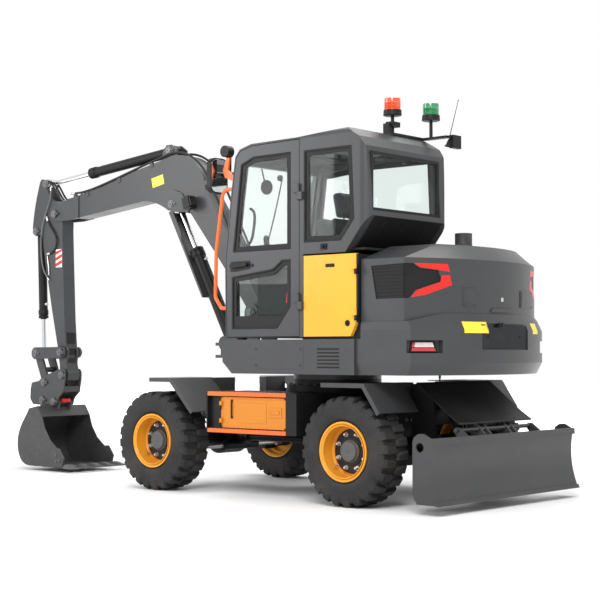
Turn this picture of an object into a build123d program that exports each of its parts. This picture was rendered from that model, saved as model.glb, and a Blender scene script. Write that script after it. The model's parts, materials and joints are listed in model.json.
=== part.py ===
"""Wheeled excavator, 6.5 tonne class, built piece by piece.

Millimetres, +Z up, +X towards the digging end, +Y to the cab side.
The origin is on the ground, at the middle of the overall length and width.
Every x below is measured from the slewing axis, and slew_x places that axis.
"""
from build123d import *
from math import acos, atan2, cos, hypot, pi, sin, tan
import os

# ---------------------------------------------------------------- driving sizes
slew_x = -1115             # slewing axis, from the origin
slip = 0.3                 # gap between pieces that rest on each other
clear = 6.0                # gap between pieces that move past each other
run_fit = 0.08             # radial clearance of a shaft in its bore

# wheels and axles
front_axle_x = 1285
rear_axle_x = -815
wheel_z = 420
tyre_radius = 420
tyre_width = 314
tread_radius = 390         # between the lugs
lug_count = 24             # on each side, set between those of the other side
lug_long = 66
wheel_y = 785              # middle of the tyre
rim_radius = 228           # outside of the rim's flange
rim_width = 290
rim_wall = 9
disc_y = 792               # inner face of the wheel disc
disc_wall = 14
hub_radius = 108
cap_radius = 75
cap_y = 866
spindle_radius = 40
drum_radius = 125
drum_end_y = 765
kingpin_y = 560
kingpin_radius = 45
axle_radius = 78
steer_arm = 150
pad_top = 575               # where an axle meets the frame

# chassis
frame_half = 200
frame_low = 600
frame_high = 800
frame_front = 1540
frame_back = -1080
ring_radius = 370
pedestal_radius = 430
pedestal_top = 900
ring_top = 945
spigot_radius = 120
fender_out = 940
fender_in = 450
fender_wall = 6
fender_top = 955
box_front = 620
box_back = -360
box_low = 520
box_high = 850
box_in = 450
door_wall = 14
rail_out = 940
box_out = rail_out - 35
box_hinge_x = 470
box_hinge_y = box_out + 24
box_hinge_r = 9
box_hinges = (600, 740)

# blade and its parallel linkage
blade_half = 980
link_low_x, link_low_z = -1160, 470
link_high_x, link_high_z = -1160, 850
link_dx, link_dz = -340, -230     # from chassis pins to blade pins
blade_wall = 14
tie_hole = (-1572, 487)
cover_half = 500

# upper structure
deck_low = 1000
deck_high = 1280
deck_half = 925
deck_front = 452
deck_back = -925
engine_low = 1122
tail_radius = 1700
tail_half = deck_half - 20
hood_wall = 25
hood_front = -972
hood_half = tail_half - 10
hood_radius = tail_radius - 62
hood_low = 1400             # where the hood meets the counterweight at the sides
seam_z = 1462               # and round the back
crease_z = 1870             # where the hood's sides turn in
roof_z = 1985
crown_radius = 1515         # the hood's top, inside the crease
crown_half = 545
stack_at = (-1147, -200)        # exhaust
cab_low = 1288
cab_left = deck_half
cab_right = -115
cab_wall = 45
cab_round = 60
door_gap = 6
door_depth = 42
door_back = -376
glass_wall = 8

# front equipment pins, all on the middle plane
swing_x = 720
swing_lug = (720, -175)
swing_base = (-60, -400)
foot_pin = (880, 1520)
boom_ram_base = (1210, 1250)
boom_ram_pin = (1920, 2546)
arm_pin = (3600, 2560)
arm_ram_base = (1980, 3055)
arm_ram_pin = (3795, 2882)
bucket_ram_base = (3935, 2405)
rocker_pin = (3489, 1168)
rocker_end = (3882, 1160)
link_end = (3752, 866)
bucket_pin = (3478, 942)
bucket_pins = ((3776, 688), (3596, 676))
blade_ram_base = (-1128, 770)
blade_ram_pin = (-1345, 370)
boom_half = 100
arm_half = 72
lug_wall = 22
pin_radius = 30
boss_radius = 62
bucket_half = 310
bucket_wall = 12
boom_hose_y = 89
boom_hose_r = 11
arm_hose_y = 87
arm_hose_r = 9
lead_r = 7
saddle_deep = 44
arm_pads = ((3602, 2325), (3701, 2168), (3771, 2566), (3740, 1931))


# ---------------------------------------------------------------- working planes
def side(y):
    """Upright plane along the machine: local x forward, local y up, facing right."""
    return Plane(origin=(slew_x, y, 0), x_dir=(1, 0, 0), z_dir=(0, -1, 0))


def level(z):
    """Level plane: local x forward, local y left."""
    return Plane(origin=(slew_x, 0, z), x_dir=(1, 0, 0), z_dir=(0, 0, 1))


def across(x):
    """Upright plane across the machine: local x left, local y up, facing forward."""
    return Plane(origin=(slew_x + x, 0, 0), x_dir=(0, 1, 0), z_dir=(1, 0, 0))


def slab(plane, points, depth, mode=Mode.ADD):
    """Straight-sided piece from an outline."""
    with BuildSketch(plane) as outline:
        with BuildLine():
            Polyline(*points, close=True)
        make_face()
    extrude(outline.sketch, amount=depth, mode=mode)


def bowed(plane, first, arc, rest, depth, mode=Mode.ADD):
    """Piece whose outline runs straight, round one arc, and straight back to its start."""
    with BuildSketch(plane) as outline:
        with BuildLine():
            Polyline(*first, arc[0])
            ThreePointArc(*arc)
            Polyline(arc[2], *rest, first[0])
        make_face()
    extrude(outline.sketch, amount=depth, mode=mode)


def block(x0, x1, y0, y1, z0, z1, mode=Mode.ADD):
    """Square block between two corners."""
    slab(level(z0), [(x0, y0), (x1, y0), (x1, y1), (x0, y1)], z1 - z0, mode)


def peg(plane, x, y, radius, depth, mode=Mode.ADD):
    """Round piece standing on a plane."""
    with BuildSketch(plane) as outline:
        with Locations((x, y)):
            Circle(radius)
    extrude(outline.sketch, amount=depth, mode=mode)


def strap(plane, a, b, ra, rb, depth, mode=Mode.ADD):
    """Plate with two round ends of different size."""
    dx, dy = b[0] - a[0], b[1] - a[1]
    base = atan2(dy, dx)
    spread = acos((ra - rb) / hypot(dx, dy))
    up, down = base + spread, base - spread
    with BuildSketch(plane) as outline:
        with Locations(a):
            Circle(ra)
        with Locations(b):
            Circle(rb)
        with BuildLine():
            Polyline(
                (a[0] + ra * cos(up), a[1] + ra * sin(up)),
                (b[0] + rb * cos(up), b[1] + rb * sin(up)),
                (b[0] + rb * cos(down), b[1] + rb * sin(down)),
                (a[0] + ra * cos(down), a[1] + ra * sin(down)),
                close=True,
            )
        make_face()
    extrude(outline.sketch, amount=depth, mode=mode)


def save(piece, name):
    """Label a finished piece and write it."""
    piece.part.label = name
    export_step(piece.part, f"parts/{name}.step")


def ram(name, base, end, reach, bore, rod, eye, half, upright=True, guard=None):
    """Cylinder: a barrel with its base eye, and a rod with its piston and end eye."""
    span = hypot(*(e - b for b, e in zip(base, end)))
    u = tuple((e - b) / span for b, e in zip(base, end))
    turn = (0, -1, 0) if upright else (0, 0, -1)

    def along(d):
        place = (slew_x + base[0] + u[0] * d, base[1] + u[1] * d, base[2] + u[2] * d)
        return Plane(origin=place, x_dir=turn, z_dir=u)

    def eye_plane(point, width):
        place = (slew_x + point[0] - turn[0] * width, point[1] - turn[1] * width, point[2] - turn[2] * width)
        return Plane(origin=place, x_dir=(1, 0, 0), z_dir=turn)

    skin = bore + 9
    chamber = eye + 25
    gland = 40
    piston = 40
    with BuildPart() as barrel:
        peg(along(eye * 0.7), 0, 0, skin, reach - eye * 0.7)
        peg(eye_plane(base, half), 0, 0, eye, 2 * half)
        peg(along(chamber), 0, 0, bore, reach - gland - chamber, Mode.SUBTRACT)
        peg(along(reach - gland - 1), 0, 0, rod + 0.5, gland + 2, Mode.SUBTRACT)
        peg(eye_plane(base, half + 1), 0, 0, pin_radius + run_fit, 2 * half + 2, Mode.SUBTRACT)
        if guard:
            slab(side(skin), guard, 2 * skin)
            peg(along(chamber), 0, 0, bore, reach - gland - chamber, Mode.SUBTRACT)
    save(barrel, name + "_barrel")
    head = chamber + (reach - gland - piston - chamber) * ram_place[name]
    with BuildPart() as stem:
        peg(along(head), 0, 0, bore - 1, piston)
        peg(along(head), 0, 0, rod, span - head - eye * 0.6)
        peg(eye_plane(end, half), 0, 0, eye, 2 * half)
        peg(eye_plane(end, half + 1), 0, 0, pin_radius + run_fit, 2 * half + 2, Mode.SUBTRACT)
    save(stem, name + "_rod")


# share of the bore behind the piston at rest
ram_place = {"boom_ram": 0.6, "arm_ram": 0.5, "bucket_ram": 0.46, "swing_ram": 0.5, "blade_ram": 0.68}
os.makedirs("parts", exist_ok=True)

# ---------------------------------------------------------------- chassis frame
with BuildPart() as chassis_frame:
    block(frame_back, frame_front, -frame_half, frame_half, frame_low, frame_high)
    slab(
        side(frame_half),
        [(1420, 820), (1560, 780), (1560, 620), (1480, 580), (1420, 600)],
        2 * frame_half,
    )
    block(-620, 760, -330, 330, 640, frame_high)
    peg(level(frame_high), 0, 0, pedestal_radius, pedestal_top - frame_high)
    peg(level(pedestal_top), 0, 0, ring_radius, ring_top - pedestal_top)
    peg(level(ring_top - 70), 0, 0, spigot_radius + run_fit, 71, Mode.SUBTRACT)
    for x in (front_axle_x, rear_axle_x):
        block(x - 130, x + 130, -170, 170, pad_top, frame_low)
    for y in (-300, 260):
        slab(
            side(y + 40),
            [(-1000, 925), (-1165, 925), (-1195, 905), (-1203, 870), (-1203, 430), (-1000, 430)],
            40,
        )
    block(-1060, -1000, -300, 300, frame_low, 900)
    for y in (50 + clear + 20, -50 - clear):
        slab(side(y), [(-1040, 850), (-1150, 807), (-1165, 772), (-1150, 737), (-1040, 700)], 20)
    peg(side(77), *blade_ram_base, pin_radius, 154)
    peg(side(320), link_low_x, link_low_z, pin_radius + run_fit, 640, Mode.SUBTRACT)
    peg(side(320), link_high_x, link_high_z, pin_radius + run_fit, 640, Mode.SUBTRACT)
save(chassis_frame, "chassis_frame")

# ---------------------------------------------------------------- axles
with BuildPart() as front_axle:
    peg(side(446), front_axle_x, wheel_z, axle_radius, 892)
    peg(side(120), front_axle_x, wheel_z, 150, 240)
    peg(across(front_axle_x - 240), 0, wheel_z, 60, 240)
    block(front_axle_x - 110, front_axle_x + 110, -120, 120, wheel_z, pad_top)
    for s in (-1, 1):
        y0, y1 = sorted((s * 440, s * 478))
        block(front_axle_x - 48, front_axle_x + 60, y0, y1, 285, 555)
        for z0, z1 in ((285, 318), (522, 555)):
            y0, y1 = sorted((s * 440, s * kingpin_y))
            block(front_axle_x - 60, front_axle_x + 60, y0, y1, z0, z1)
            peg(level(z0), front_axle_x, s * kingpin_y, 60, z1 - z0)
            peg(level(z0 - 1), front_axle_x, s * kingpin_y, kingpin_radius + run_fit, 40, Mode.SUBTRACT)
    peg(side(210), front_axle_x - steer_arm, 352, 44, 420)
    block(front_axle_x - steer_arm, front_axle_x - 40, -60, 60, 330, 400)
    peg(side(211), front_axle_x - steer_arm, 352, 34, 422, Mode.SUBTRACT)
    for y in (211, -189):
        peg(side(y - 1), front_axle_x - steer_arm, 352, 44, 20)
    peg(side(220), front_axle_x - steer_arm, 352, 22 + run_fit, 440, Mode.SUBTRACT)
save(front_axle, "front_axle")

with BuildPart() as rear_axle:
    peg(side(600), rear_axle_x, wheel_z, axle_radius, 1200)
    peg(side(120), rear_axle_x, wheel_z, 150, 240)
    peg(across(rear_axle_x), 0, wheel_z, 60, 240)
    block(rear_axle_x - 110, rear_axle_x + 110, -120, 120, wheel_z, pad_top)
    for s in (-1, 1):
        y = drum_end_y if s > 0 else -600
        peg(side(y), rear_axle_x, wheel_z, drum_radius, drum_end_y - 600)
        y = cap_y - 20 if s > 0 else -drum_end_y
        peg(side(y), rear_axle_x, wheel_z, spindle_radius, cap_y - 20 - drum_end_y)
save(rear_axle, "rear_axle")

with BuildPart() as driveline:
    block(-420, -140, -130, 130, 350, frame_low)
    peg(across(rear_axle_x + 240), 0, wheel_z, 28, -420 - rear_axle_x - 240)
    peg(across(-140), 0, wheel_z, 28, front_axle_x - 240 + 140)
    for x in (-140, front_axle_x - 280, rear_axle_x + 240, -460):
        peg(across(x), 0, wheel_z, 52, 40)
save(driveline, "driveline")

# ---------------------------------------------------------------- knuckles, wheels
for label, s in (("left", 1), ("right", -1)):
    with BuildPart() as knuckle:
        peg(level(324), front_axle_x, s * kingpin_y, 62, 192)
        peg(level(286), front_axle_x, s * kingpin_y, kingpin_radius, 268)
        y = drum_end_y if s > 0 else -590
        peg(side(y), front_axle_x, wheel_z, 88, drum_end_y - 590)
        y = drum_end_y if s > 0 else -640
        peg(side(y), front_axle_x, wheel_z, drum_radius, drum_end_y - 640)
        y = cap_y - 20 if s > 0 else -drum_end_y
        peg(side(y), front_axle_x, wheel_z, spindle_radius, cap_y - 20 - drum_end_y)
        slab(
            level(396),
            [
                (front_axle_x, s * 540),
                (front_axle_x - 60, s * 530),
                (front_axle_x - steer_arm, s * 500),
                (front_axle_x - steer_arm, s * 540),
                (front_axle_x, s * 600),
            ],
            22,
        )
        peg(level(386), front_axle_x - steer_arm, s * 512, 28, 32)
    save(knuckle, f"knuckle_{label}")

with BuildPart() as steering_rod:
    peg(side(500), front_axle_x - steer_arm, 352, 22, 1000)
    for y in (540, -484):
        peg(side(y), front_axle_x - steer_arm, 352, 27, 56)
save(steering_rod, "steering_rod")

half_rim = rim_width / 2
half_tyre = tyre_width / 2
bead = half_rim - 20 - slip
seat_radius = rim_radius - 15.5
# outer skin and inner room of a tyre: distance from its middle, radius of the flats
tyre_skin = [
    (-bead, rim_radius + 6),
    (-half_tyre, 290),
    (-half_tyre + 9, tread_radius),
    (half_tyre - 9, tread_radius),
    (half_tyre, 290),
    (bead, rim_radius + 6),
]
tyre_room = [(-bead + 14, seat_radius + 1), (-half_tyre + 24, 285), (-half_tyre + 30, 362)]
# one lug: distance from the tyre's middle, radius
lug_top = (tyre_radius**2 - (lug_long / 2) ** 2) ** 0.5
lug_foot = tread_radius - 8
lug_outline = [(8, lug_foot), (12, lug_top), (126, lug_top), (half_tyre - 12, lug_foot)]


def rings(rows, sides, mode=Mode.ADD):
    sections = []
    for y, radius in rows:
        with BuildSketch(Plane(origin=(0, y, 0), x_dir=(1, 0, 0), z_dir=(0, 1, 0))) as ring:
            RegularPolygon(radius=radius, side_count=sides, major_radius=False)
        sections.append(ring.sketch)
    loft(sections, ruled=True, mode=mode)


with BuildPart() as carcass:
    rings(tyre_skin, lug_count)
    rings([(-bead - 1, seat_radius), (bead + 1, seat_radius)], lug_count // 2, Mode.SUBTRACT)
    rings([*tyre_room, *((-y, r) for y, r in reversed(tyre_room))], lug_count // 2, Mode.SUBTRACT)
    for hand in (-1, 1):
        for n in range(lug_count):
            turned = Location((0, 0, 0), (0, (n + hand / 4) * 360 / lug_count, 0))
            upright = Plane(origin=(0, 0, 0), x_dir=(0, hand, 0), z_dir=(hand, 0, 0))
            with BuildSketch(Plane(turned * upright.location).offset(-lug_long / 2)) as lug:
                with BuildLine():
                    Polyline(*lug_outline, close=True)
                make_face()
            extrude(lug.sketch, amount=lug_long)

rim_outline = [
    (-half_rim, rim_radius),
    (-half_rim + 14, rim_radius),
    (-half_rim + 20, rim_radius - 16),
    (-half_rim + 70, rim_radius - 22),
    (-half_rim + 84, rim_radius - 38),
    (-half_rim + 150, rim_radius - 38),
    (-half_rim + 168, rim_radius - 20),
    (half_rim - 20, rim_radius - 16),
    (half_rim - 14, rim_radius),
    (half_rim, rim_radius),
    (half_rim, rim_radius - 12),
    (half_rim - 12, rim_radius - 24),
    (-half_rim + 172, rim_radius - 29),
    (-half_rim + 153, rim_radius - 47),
    (-half_rim + 81, rim_radius - 47),
    (-half_rim + 67, rim_radius - 31),
    (-half_rim + 12, rim_radius - 24),
    (-half_rim, rim_radius - 12),
]
wheels = [
    ("front_left", front_axle_x, 1),
    ("front_right", front_axle_x, -1),
    ("rear_left", rear_axle_x, 1),
    ("rear_right", rear_axle_x, -1),
]
for label, x, s in wheels:
    spin = Axis((slew_x + x, 0, wheel_z), (0, 1, 0))
    plane = Plane(origin=(slew_x + x, s * wheel_y, wheel_z), x_dir=(0, s, 0), z_dir=(s, 0, 0))
    with BuildPart() as rim:
        with BuildSketch(plane) as section:
            with BuildLine():
                Polyline(*rim_outline, close=True)
            make_face()
        revolve(section.sketch, axis=spin)
        disc = disc_y - wheel_y
        with BuildSketch(plane) as section:
            with BuildLine():
                Polyline(
                    (disc, 0),
                    (disc, rim_radius - 42),
                    (disc + disc_wall, rim_radius - 42),
                    (disc + disc_wall, hub_radius),
                    (disc + 34, hub_radius - 8),
                    (disc + 34, cap_radius),
                    (cap_y - wheel_y, cap_radius - 8),
                    (cap_y - wheel_y, 0),
                    close=True,
                )
            make_face()
        revolve(section.sketch, axis=spin)
        with BuildSketch(plane) as section:
            with BuildLine():
                Polyline(
                    (drum_end_y + clear - wheel_y, 0),
                    (drum_end_y + clear - wheel_y, hub_radius),
                    (disc, hub_radius),
                    (disc, 0),
                    close=True,
                )
            make_face()
        revolve(section.sketch, axis=spin)
        bore_end = cap_y - 20 + 2 - wheel_y
        with BuildSketch(plane) as section:
            with BuildLine():
                Polyline(
                    (-60, 0),
                    (-60, spindle_radius + run_fit),
                    (bore_end, spindle_radius + run_fit),
                    (bore_end, 0),
                    close=True,
                )
            make_face()
        revolve(section.sketch, axis=spin, mode=Mode.SUBTRACT)
    save(rim, f"rim_{label}")

    tyre = carcass.part.moved(Location((slew_x + x, s * wheel_y, wheel_z)))
    tyre.label = f"tyre_{label}"
    export_step(tyre, f"parts/tyre_{label}.step")
print("running gear done")

# ---------------------------------------------------------------- fenders, boxes
# each row: outline from the level end to the foot of the slope, then the bracket's x
guards = [
    ((1305, fender_top), (1040, fender_top), (780, 680), 1040),
    ((-607, 938), (-1025, 938), (-1176, 722), -900),
]
with BuildPart() as fenders:
    for (x0, z0), (x1, z1), (x2, z2), arm_x in guards:
        outline = [
            (x0, z0),
            (x1, z1),
            (x2, z2),
            (x2 + 4, z2 - fender_wall),
            (x1 + 3, z1 - fender_wall),
            (x0, z0 - fender_wall),
        ]
        for s in (-1, 1):
            y = fender_out if s > 0 else -fender_in
            slab(side(y), outline, fender_out - fender_in)
            y = fender_out if s > 0 else -fender_out + fender_wall
            lip = [(x0, z0), (x1, z1), (x2, z2), (x2 + 26, z2 - 20), (x1 + 18, z1 - 34), (x0, z0 - 34)]
            slab(side(y), lip, fender_wall)
            y = fender_in + 10 if s > 0 else -frame_half
            slab(
                side(y),
                [(arm_x - 40, z1 - 3), (arm_x - 40, z1 - 190), (arm_x + 40, z1 - 190), (arm_x + 40, z1 - 3)],
                fender_in + 10 - frame_half,
            )
save(fenders, "fenders")

with BuildPart() as step_box:
    block(box_back, box_front, box_in, box_out, box_low, box_high)
    block(box_back + 120, box_front - 150, box_in + 12, box_out + 1, box_low + 36, box_high - 36, Mode.SUBTRACT)
    for z in box_hinges:
        block(box_hinge_x + 2, box_front - 130, box_out, box_hinge_y + box_hinge_r, z - 34, z)
        peg(level(z - 34), box_hinge_x, box_hinge_y, box_hinge_r, 34)
    block(box_back, box_front, 330 + slip, box_in, 640, frame_high)
    block(box_back - 2, box_back + 110, box_out, rail_out, box_low, box_high)
    block(box_front - 14, box_front, box_out, rail_out, box_low, box_high)
save(step_box, "step_box")

with BuildPart() as step_rails:
    for z in (box_low, box_high - 32):
        block(box_back + 110 + slip, box_front - 14 - slip, box_out + door_wall + clear, rail_out, z, z + 32)
save(step_rails, "step_rails")

door_z0 = box_low + 40
door_z1 = box_high - 40
with BuildPart() as box_door:
    block(box_back + 124, box_front - 154, box_out - 2, box_out + door_wall, door_z0, door_z1)
    for z in box_hinges:
        block(box_hinge_x - 20, box_hinge_x - 2, box_out + 2, box_hinge_y + box_hinge_r, z + slip, z + 34)
        peg(level(z + slip), box_hinge_x, box_hinge_y, box_hinge_r, 34)
save(box_door, "box_door")

with BuildPart() as fuel_tank:
    block(box_back, box_front, -box_out, -box_in, box_low, box_high)
    block(box_back, box_front, -box_in, -330 - slip, 640, frame_high)
    for z in (box_low, box_high - 32):
        block(box_back, box_front, -rail_out, -box_out, z, z + 32)
save(fuel_tank, "fuel_tank")

# ---------------------------------------------------------------- blade
pin_low = (link_low_x + link_dx, link_low_z + link_dz)
pin_high = (link_high_x + link_dx, link_high_z + link_dz)
blade_face = ((-1722, 84), (-1663, 330), (-1684, 548))
with BuildPart() as blade:
    thick = blade_wall + 3
    inner_face = [(x + thick, z) for x, z in blade_face]
    with BuildSketch(side(blade_half)) as board:
        with BuildLine():
            ThreePointArc(*blade_face)
            Line(blade_face[2], inner_face[2])
            ThreePointArc(*inner_face[::-1])
            Line(inner_face[0], blade_face[0])
        make_face()
    extrude(board.sketch, amount=2 * blade_half)
    slab(side(blade_half), [(-1738, 74), (-1708, 74), (-1700, 100), (-1728, 104)], 2 * blade_half)
    slab(side(blade_half), [(-1698, 508), (-1672, 508), (-1672, 556), (-1694, 556)], 2 * blade_half)
    for y in (blade_half, -blade_half + blade_wall):
        bowed(
            side(y),
            [(-1706, 78), (-1545, 78), (-1507, 140), (-1507, 520), (-1520, 560), (-1560, 585), (-1605, 588)],
            blade_face[::-1],
            [],
            blade_wall,
        )
    for y in (510, -490):
        slab(side(y), [(-1668, 500), (-1600, 500), (-1546, 572), (-1552, 610), (-1588, 612), (-1668, 552)], 20)
    peg(side(530), -1568, 590, 16, 1060)
    for z0, z1 in ((190, 250), (400, 460)):
        block(-1655, -1570, -blade_half + blade_wall, blade_half - blade_wall, z0, z1)
    for y in (230, 150, -130, -210):
        slab(
            side(y),
            [(-1660, 180), (-1450, 190), (-1450, 300), (-1540, 520), (-1455, 590), (-1465, 650), (-1540, 650), (-1660, 520)],
            20,
        )
    for pin in (pin_low, pin_high):
        peg(side(231), pin[0], pin[1], 46, 21)
        peg(side(-209), pin[0], pin[1], 46, 21)
        peg(side(240), pin[0], pin[1], pin_radius + run_fit, 480, Mode.SUBTRACT)
    for y in (blade_half, -blade_half + blade_wall):
        peg(side(y + 1), *tie_hole, 35, blade_wall + 2, Mode.SUBTRACT)
save(blade, "blade")
print("chassis side done")

with BuildPart() as blade_arms:
    for y in (205, -175):
        strap(side(y), (link_low_x, link_low_z), pin_low, 55, 45, 30)
    block(-1300, -1260, -175, 175, 290, 340)
    for y in (40 + clear + 20, -40 - clear):
        slab(side(y), [(-1385, 360), (-1365, 405), (-1330, 405), (-1262, 340), (-1262, 292), (-1320, 300)], 20)
    for y in (78, -66):
        peg(side(y), *blade_ram_pin, pin_radius, 12)
    peg(side(310), link_low_x, link_low_z, pin_radius, 620)
    peg(side(225), pin_low[0], pin_low[1], pin_radius, 450)
save(blade_arms, "blade_arms")

with BuildPart() as blade_cover:
    for y in (120, -90):
        strap(side(y), (link_high_x, link_high_z), pin_high, 50, 45, 30)
    slab(
        side(cover_half),
        [(-1190, 942), (-1482, 711), (-1582, 646), (-1582, 634), (-1486, 698), (-1190, 930)],
        2 * cover_half,
    )
    for y in (120, -90):
        slab(side(y), [(-1190, 935), (-1190, 860), (-1330, 780), (-1486, 650), (-1486, 700)], 30)
    peg(side(310), link_high_x, link_high_z, pin_radius, 620)
    peg(side(225), pin_high[0], pin_high[1], pin_radius, 450)
save(blade_cover, "blade_cover")

# ---------------------------------------------------------------- upper frame
with BuildPart() as upper_frame:
    peg(level(ring_top + 2), 0, 0, ring_radius, deck_low - ring_top - 2)
    peg(level(ring_top - 60), 0, 0, spigot_radius, deck_low - ring_top + 60)
    skirt = [
        (deck_front, deck_high - 8),
        (deck_front, 1095),
        (348, deck_low),
        (deck_back, deck_low),
        (deck_back, deck_high - 8),
    ]
    slab(side(deck_half), skirt, 2 * deck_half)
    slab(
        level(1040),
        [(deck_front, -230), (swing_x - 60, -110), (swing_x - 60, 110), (deck_front, 230)],
        deck_high - 8 - 1040,
    )
    for z0, z1 in ((1040, 1085), (1227, 1272)):
        block(swing_x - 90, swing_x, -95, 95, z0, z1)
        peg(level(z0), swing_x, 0, 95, z1 - z0)
        peg(level(z0 - 1), swing_x, 0, 45 + run_fit, z1 - z0 + 2, Mode.SUBTRACT)
    peg(level(1085), swing_x, 0, 218, 1227 - 1085, Mode.SUBTRACT)
    for y0, y1 in ((220, 300), (-300, -220)):
        block(-1425, deck_back, y0, y1, deck_low + 60 + slip, engine_low)
    for x in (-360, 360):
        for y in (cab_right + 70, cab_left - 130):
            peg(level(deck_high - 8), x, y, 45, cab_low - deck_high + 8)
    for y0, y1 in ((330, 900), (-900, -330)):
        block(deck_back + 25, 320, y0, y1, deck_low - 1, 1232, Mode.SUBTRACT)
    block(-115, -36, -450, -325, 1088, 1118)
    block(-115, -36, -450, -340, 1194, 1240)
    peg(level(1088), *swing_base, pin_radius, 130)
    slab(level(1108), [(-20, -475), (720, -300), (720, 20), (540, 20), (300, -110), (-20, -310)], 96, Mode.SUBTRACT)
    block(460, 560, deck_half - 55, deck_half - 30, 1125, 1150)
    block(460, 560, deck_half - 55, deck_half - 30, 1225, 1250)
    block(deck_front, 500, deck_half - 55, deck_half - 30, 1125, 1250)
save(upper_frame, "upper_frame")


def tail_plan(z, radius, half, front):
    """Plan of the tail at a height: straight sides and a round back about the slewing axis."""
    corner = -((radius**2 - half**2) ** 0.5)
    with BuildSketch(level(z)) as plan:
        with BuildLine():
            Polyline((corner, half), (front, half), (front, -half), (corner, -half))
            ThreePointArc((corner, -half), (-radius, 0), (corner, half))
        make_face()
    return plan.sketch


tail_front = deck_back - 2
seam = [(hood_front + 50, hood_low), (-1410, hood_low), (-1530, seam_z), (-1800, seam_z)]
with BuildPart() as counterweight:
    low = tail_plan(deck_low, tail_radius - 45, tail_half - 20, tail_front)
    mid = tail_plan(1090, tail_radius, tail_half, tail_front)
    high = tail_plan(1340, tail_radius, tail_half, tail_front)
    top = tail_plan(seam_z + 8, hood_radius + 4, hood_half + 2, tail_front)
    loft([low, mid])
    extrude(mid, amount=1340 - 1090)
    loft([high, top])
    slab(side(1000), [*seam, (-1800, 1600), (hood_front + 50, 1600)], 2000, Mode.SUBTRACT)
    block(-1800, -1655, -320, 320, 1190, 1390, Mode.SUBTRACT)
    slab(
        level(deck_low + 60),
        [(tail_front + 1, 850), (-1300, 850), (-1440, 600), (-1440, -600), (-1300, -850), (tail_front + 1, -850)],
        seam_z,
        Mode.SUBTRACT,
    )
    block(hood_front, tail_front + 1, -930, 930, deck_high - 8, seam_z + 1, Mode.SUBTRACT)
    # tail lamps sit in notches where the sides turn into the back
    for s in (-1, 1):
        slab(level(1165), [(-1385, s * 872), (-1425, s * 950), (-1640, s * 700), (-1512, s * 655)][::s], 95, Mode.SUBTRACT)
save(counterweight, "counterweight")

grille = [
    (-1065, 1817),
    (-1410, 1828),
    (-1438, 1792),
    (-1503, 1781),
    (-1517, 1700),
    (-1418, 1629),
    (-1393, 1570),
    (-1112, 1568),
]
grille_depth = 12
with BuildPart() as engine_hood:
    for shrink, mode in ((0, Mode.ADD), (hood_wall, Mode.SUBTRACT)):
        front = hood_front + shrink
        foot = tail_plan(hood_low + slip - shrink, hood_radius - shrink, hood_half - shrink, front)
        crease = tail_plan(crease_z - shrink / 3, hood_radius - shrink, hood_half - shrink, front)
        crown = tail_plan(roof_z - shrink, crown_radius - shrink, crown_half - shrink, front)
        with BuildPart(mode=Mode.PRIVATE) as body:
            extrude(foot, amount=crease_z - hood_low - slip + shrink * 2 / 3)
            loft([crease, crown])
        add(body.part, mode=mode)
    slab(
        side(1000),
        [(x, z + slip) for x, z in seam[1:]] + [(-1800, 1380), (-1410, 1380)],
        2000,
        Mode.SUBTRACT,
    )
    for y in (hood_half + 1, -560):
        with BuildPart(mode=Mode.PRIVATE) as pocket:
            slab(side(y), grille, hood_half - 559)
            core = tail_plan(seam_z, hood_radius - grille_depth, hood_half - grille_depth, hood_front + 50)
            extrude(core, amount=crease_z - seam_z, mode=Mode.SUBTRACT)
        add(pocket.part, mode=Mode.SUBTRACT)
    block(-1262, -1062, -285, -115, 1900, 2000, Mode.SUBTRACT)
save(engine_hood, "engine_hood")

with BuildPart() as engine:
    block(-1420, hood_front - 8, -420, 420, engine_low, 1700)
    peg(level(1700), *stack_at, 38, 220)
    peg(level(1900), *stack_at, 68, 222)
save(engine, "engine")

# right-hand cover over the tanks, beside the cab
with BuildPart() as right_cover:
    block(-960, 405, -hood_half, cab_right - 20, deck_high - 8, 1900)
    chamfer(right_cover.edges().filter_by(Axis.X).group_by(Axis.Z)[-1].sort_by(Axis.Y)[0], length=110)
    slab(
        level(deck_high - 9),
        [
            (-960 + hood_wall, -hood_half + hood_wall),
            (405 - hood_wall, -hood_half + hood_wall),
            (405 - hood_wall, cab_right - 20 - hood_wall),
            (-960 + hood_wall, cab_right - 20 - hood_wall),
        ],
        1770 - deck_high,
        Mode.SUBTRACT,
    )
save(right_cover, "right_cover")

# side bay under the back of the cab, and the hinged panel that closes it
hinge_y = cab_left + 12
hinge_r = 11
panel_back, panel_front = -945, -424
panel_low, panel_high = 1293, 1918
panel_wall = 36
panel_hinge_x = panel_back - 3
panel_hinges = (1450, 1800)
with BuildPart() as side_bay:
    block(-966, panel_front, 200, cab_left - panel_wall - slip, deck_high - 8, panel_high - 6)
    block(-966, panel_back - clear, cab_left - panel_wall - slip, cab_left, 1395, panel_high - 6)
    for z in panel_hinges:
        block(-966, panel_hinge_x - 2, cab_left, hinge_y + hinge_r, z - 40, z)
        peg(level(z - 40), panel_hinge_x, hinge_y, hinge_r, 40)
save(side_bay, "side_bay")
with BuildPart() as side_panel:
    outline = [
        (panel_front, panel_low),
        (panel_front, panel_high),
        (panel_back, panel_high),
        (panel_back, 1400),
        (-890, panel_low),
    ]
    slab(side(cab_left), outline, panel_wall)
    for z in panel_hinges:
        block(panel_hinge_x + 2, panel_back + 30, cab_left, hinge_y + hinge_r, z + slip, z + 40)
        peg(level(z + slip), panel_hinge_x, hinge_y, hinge_r, 40)
save(side_panel, "side_panel")

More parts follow.
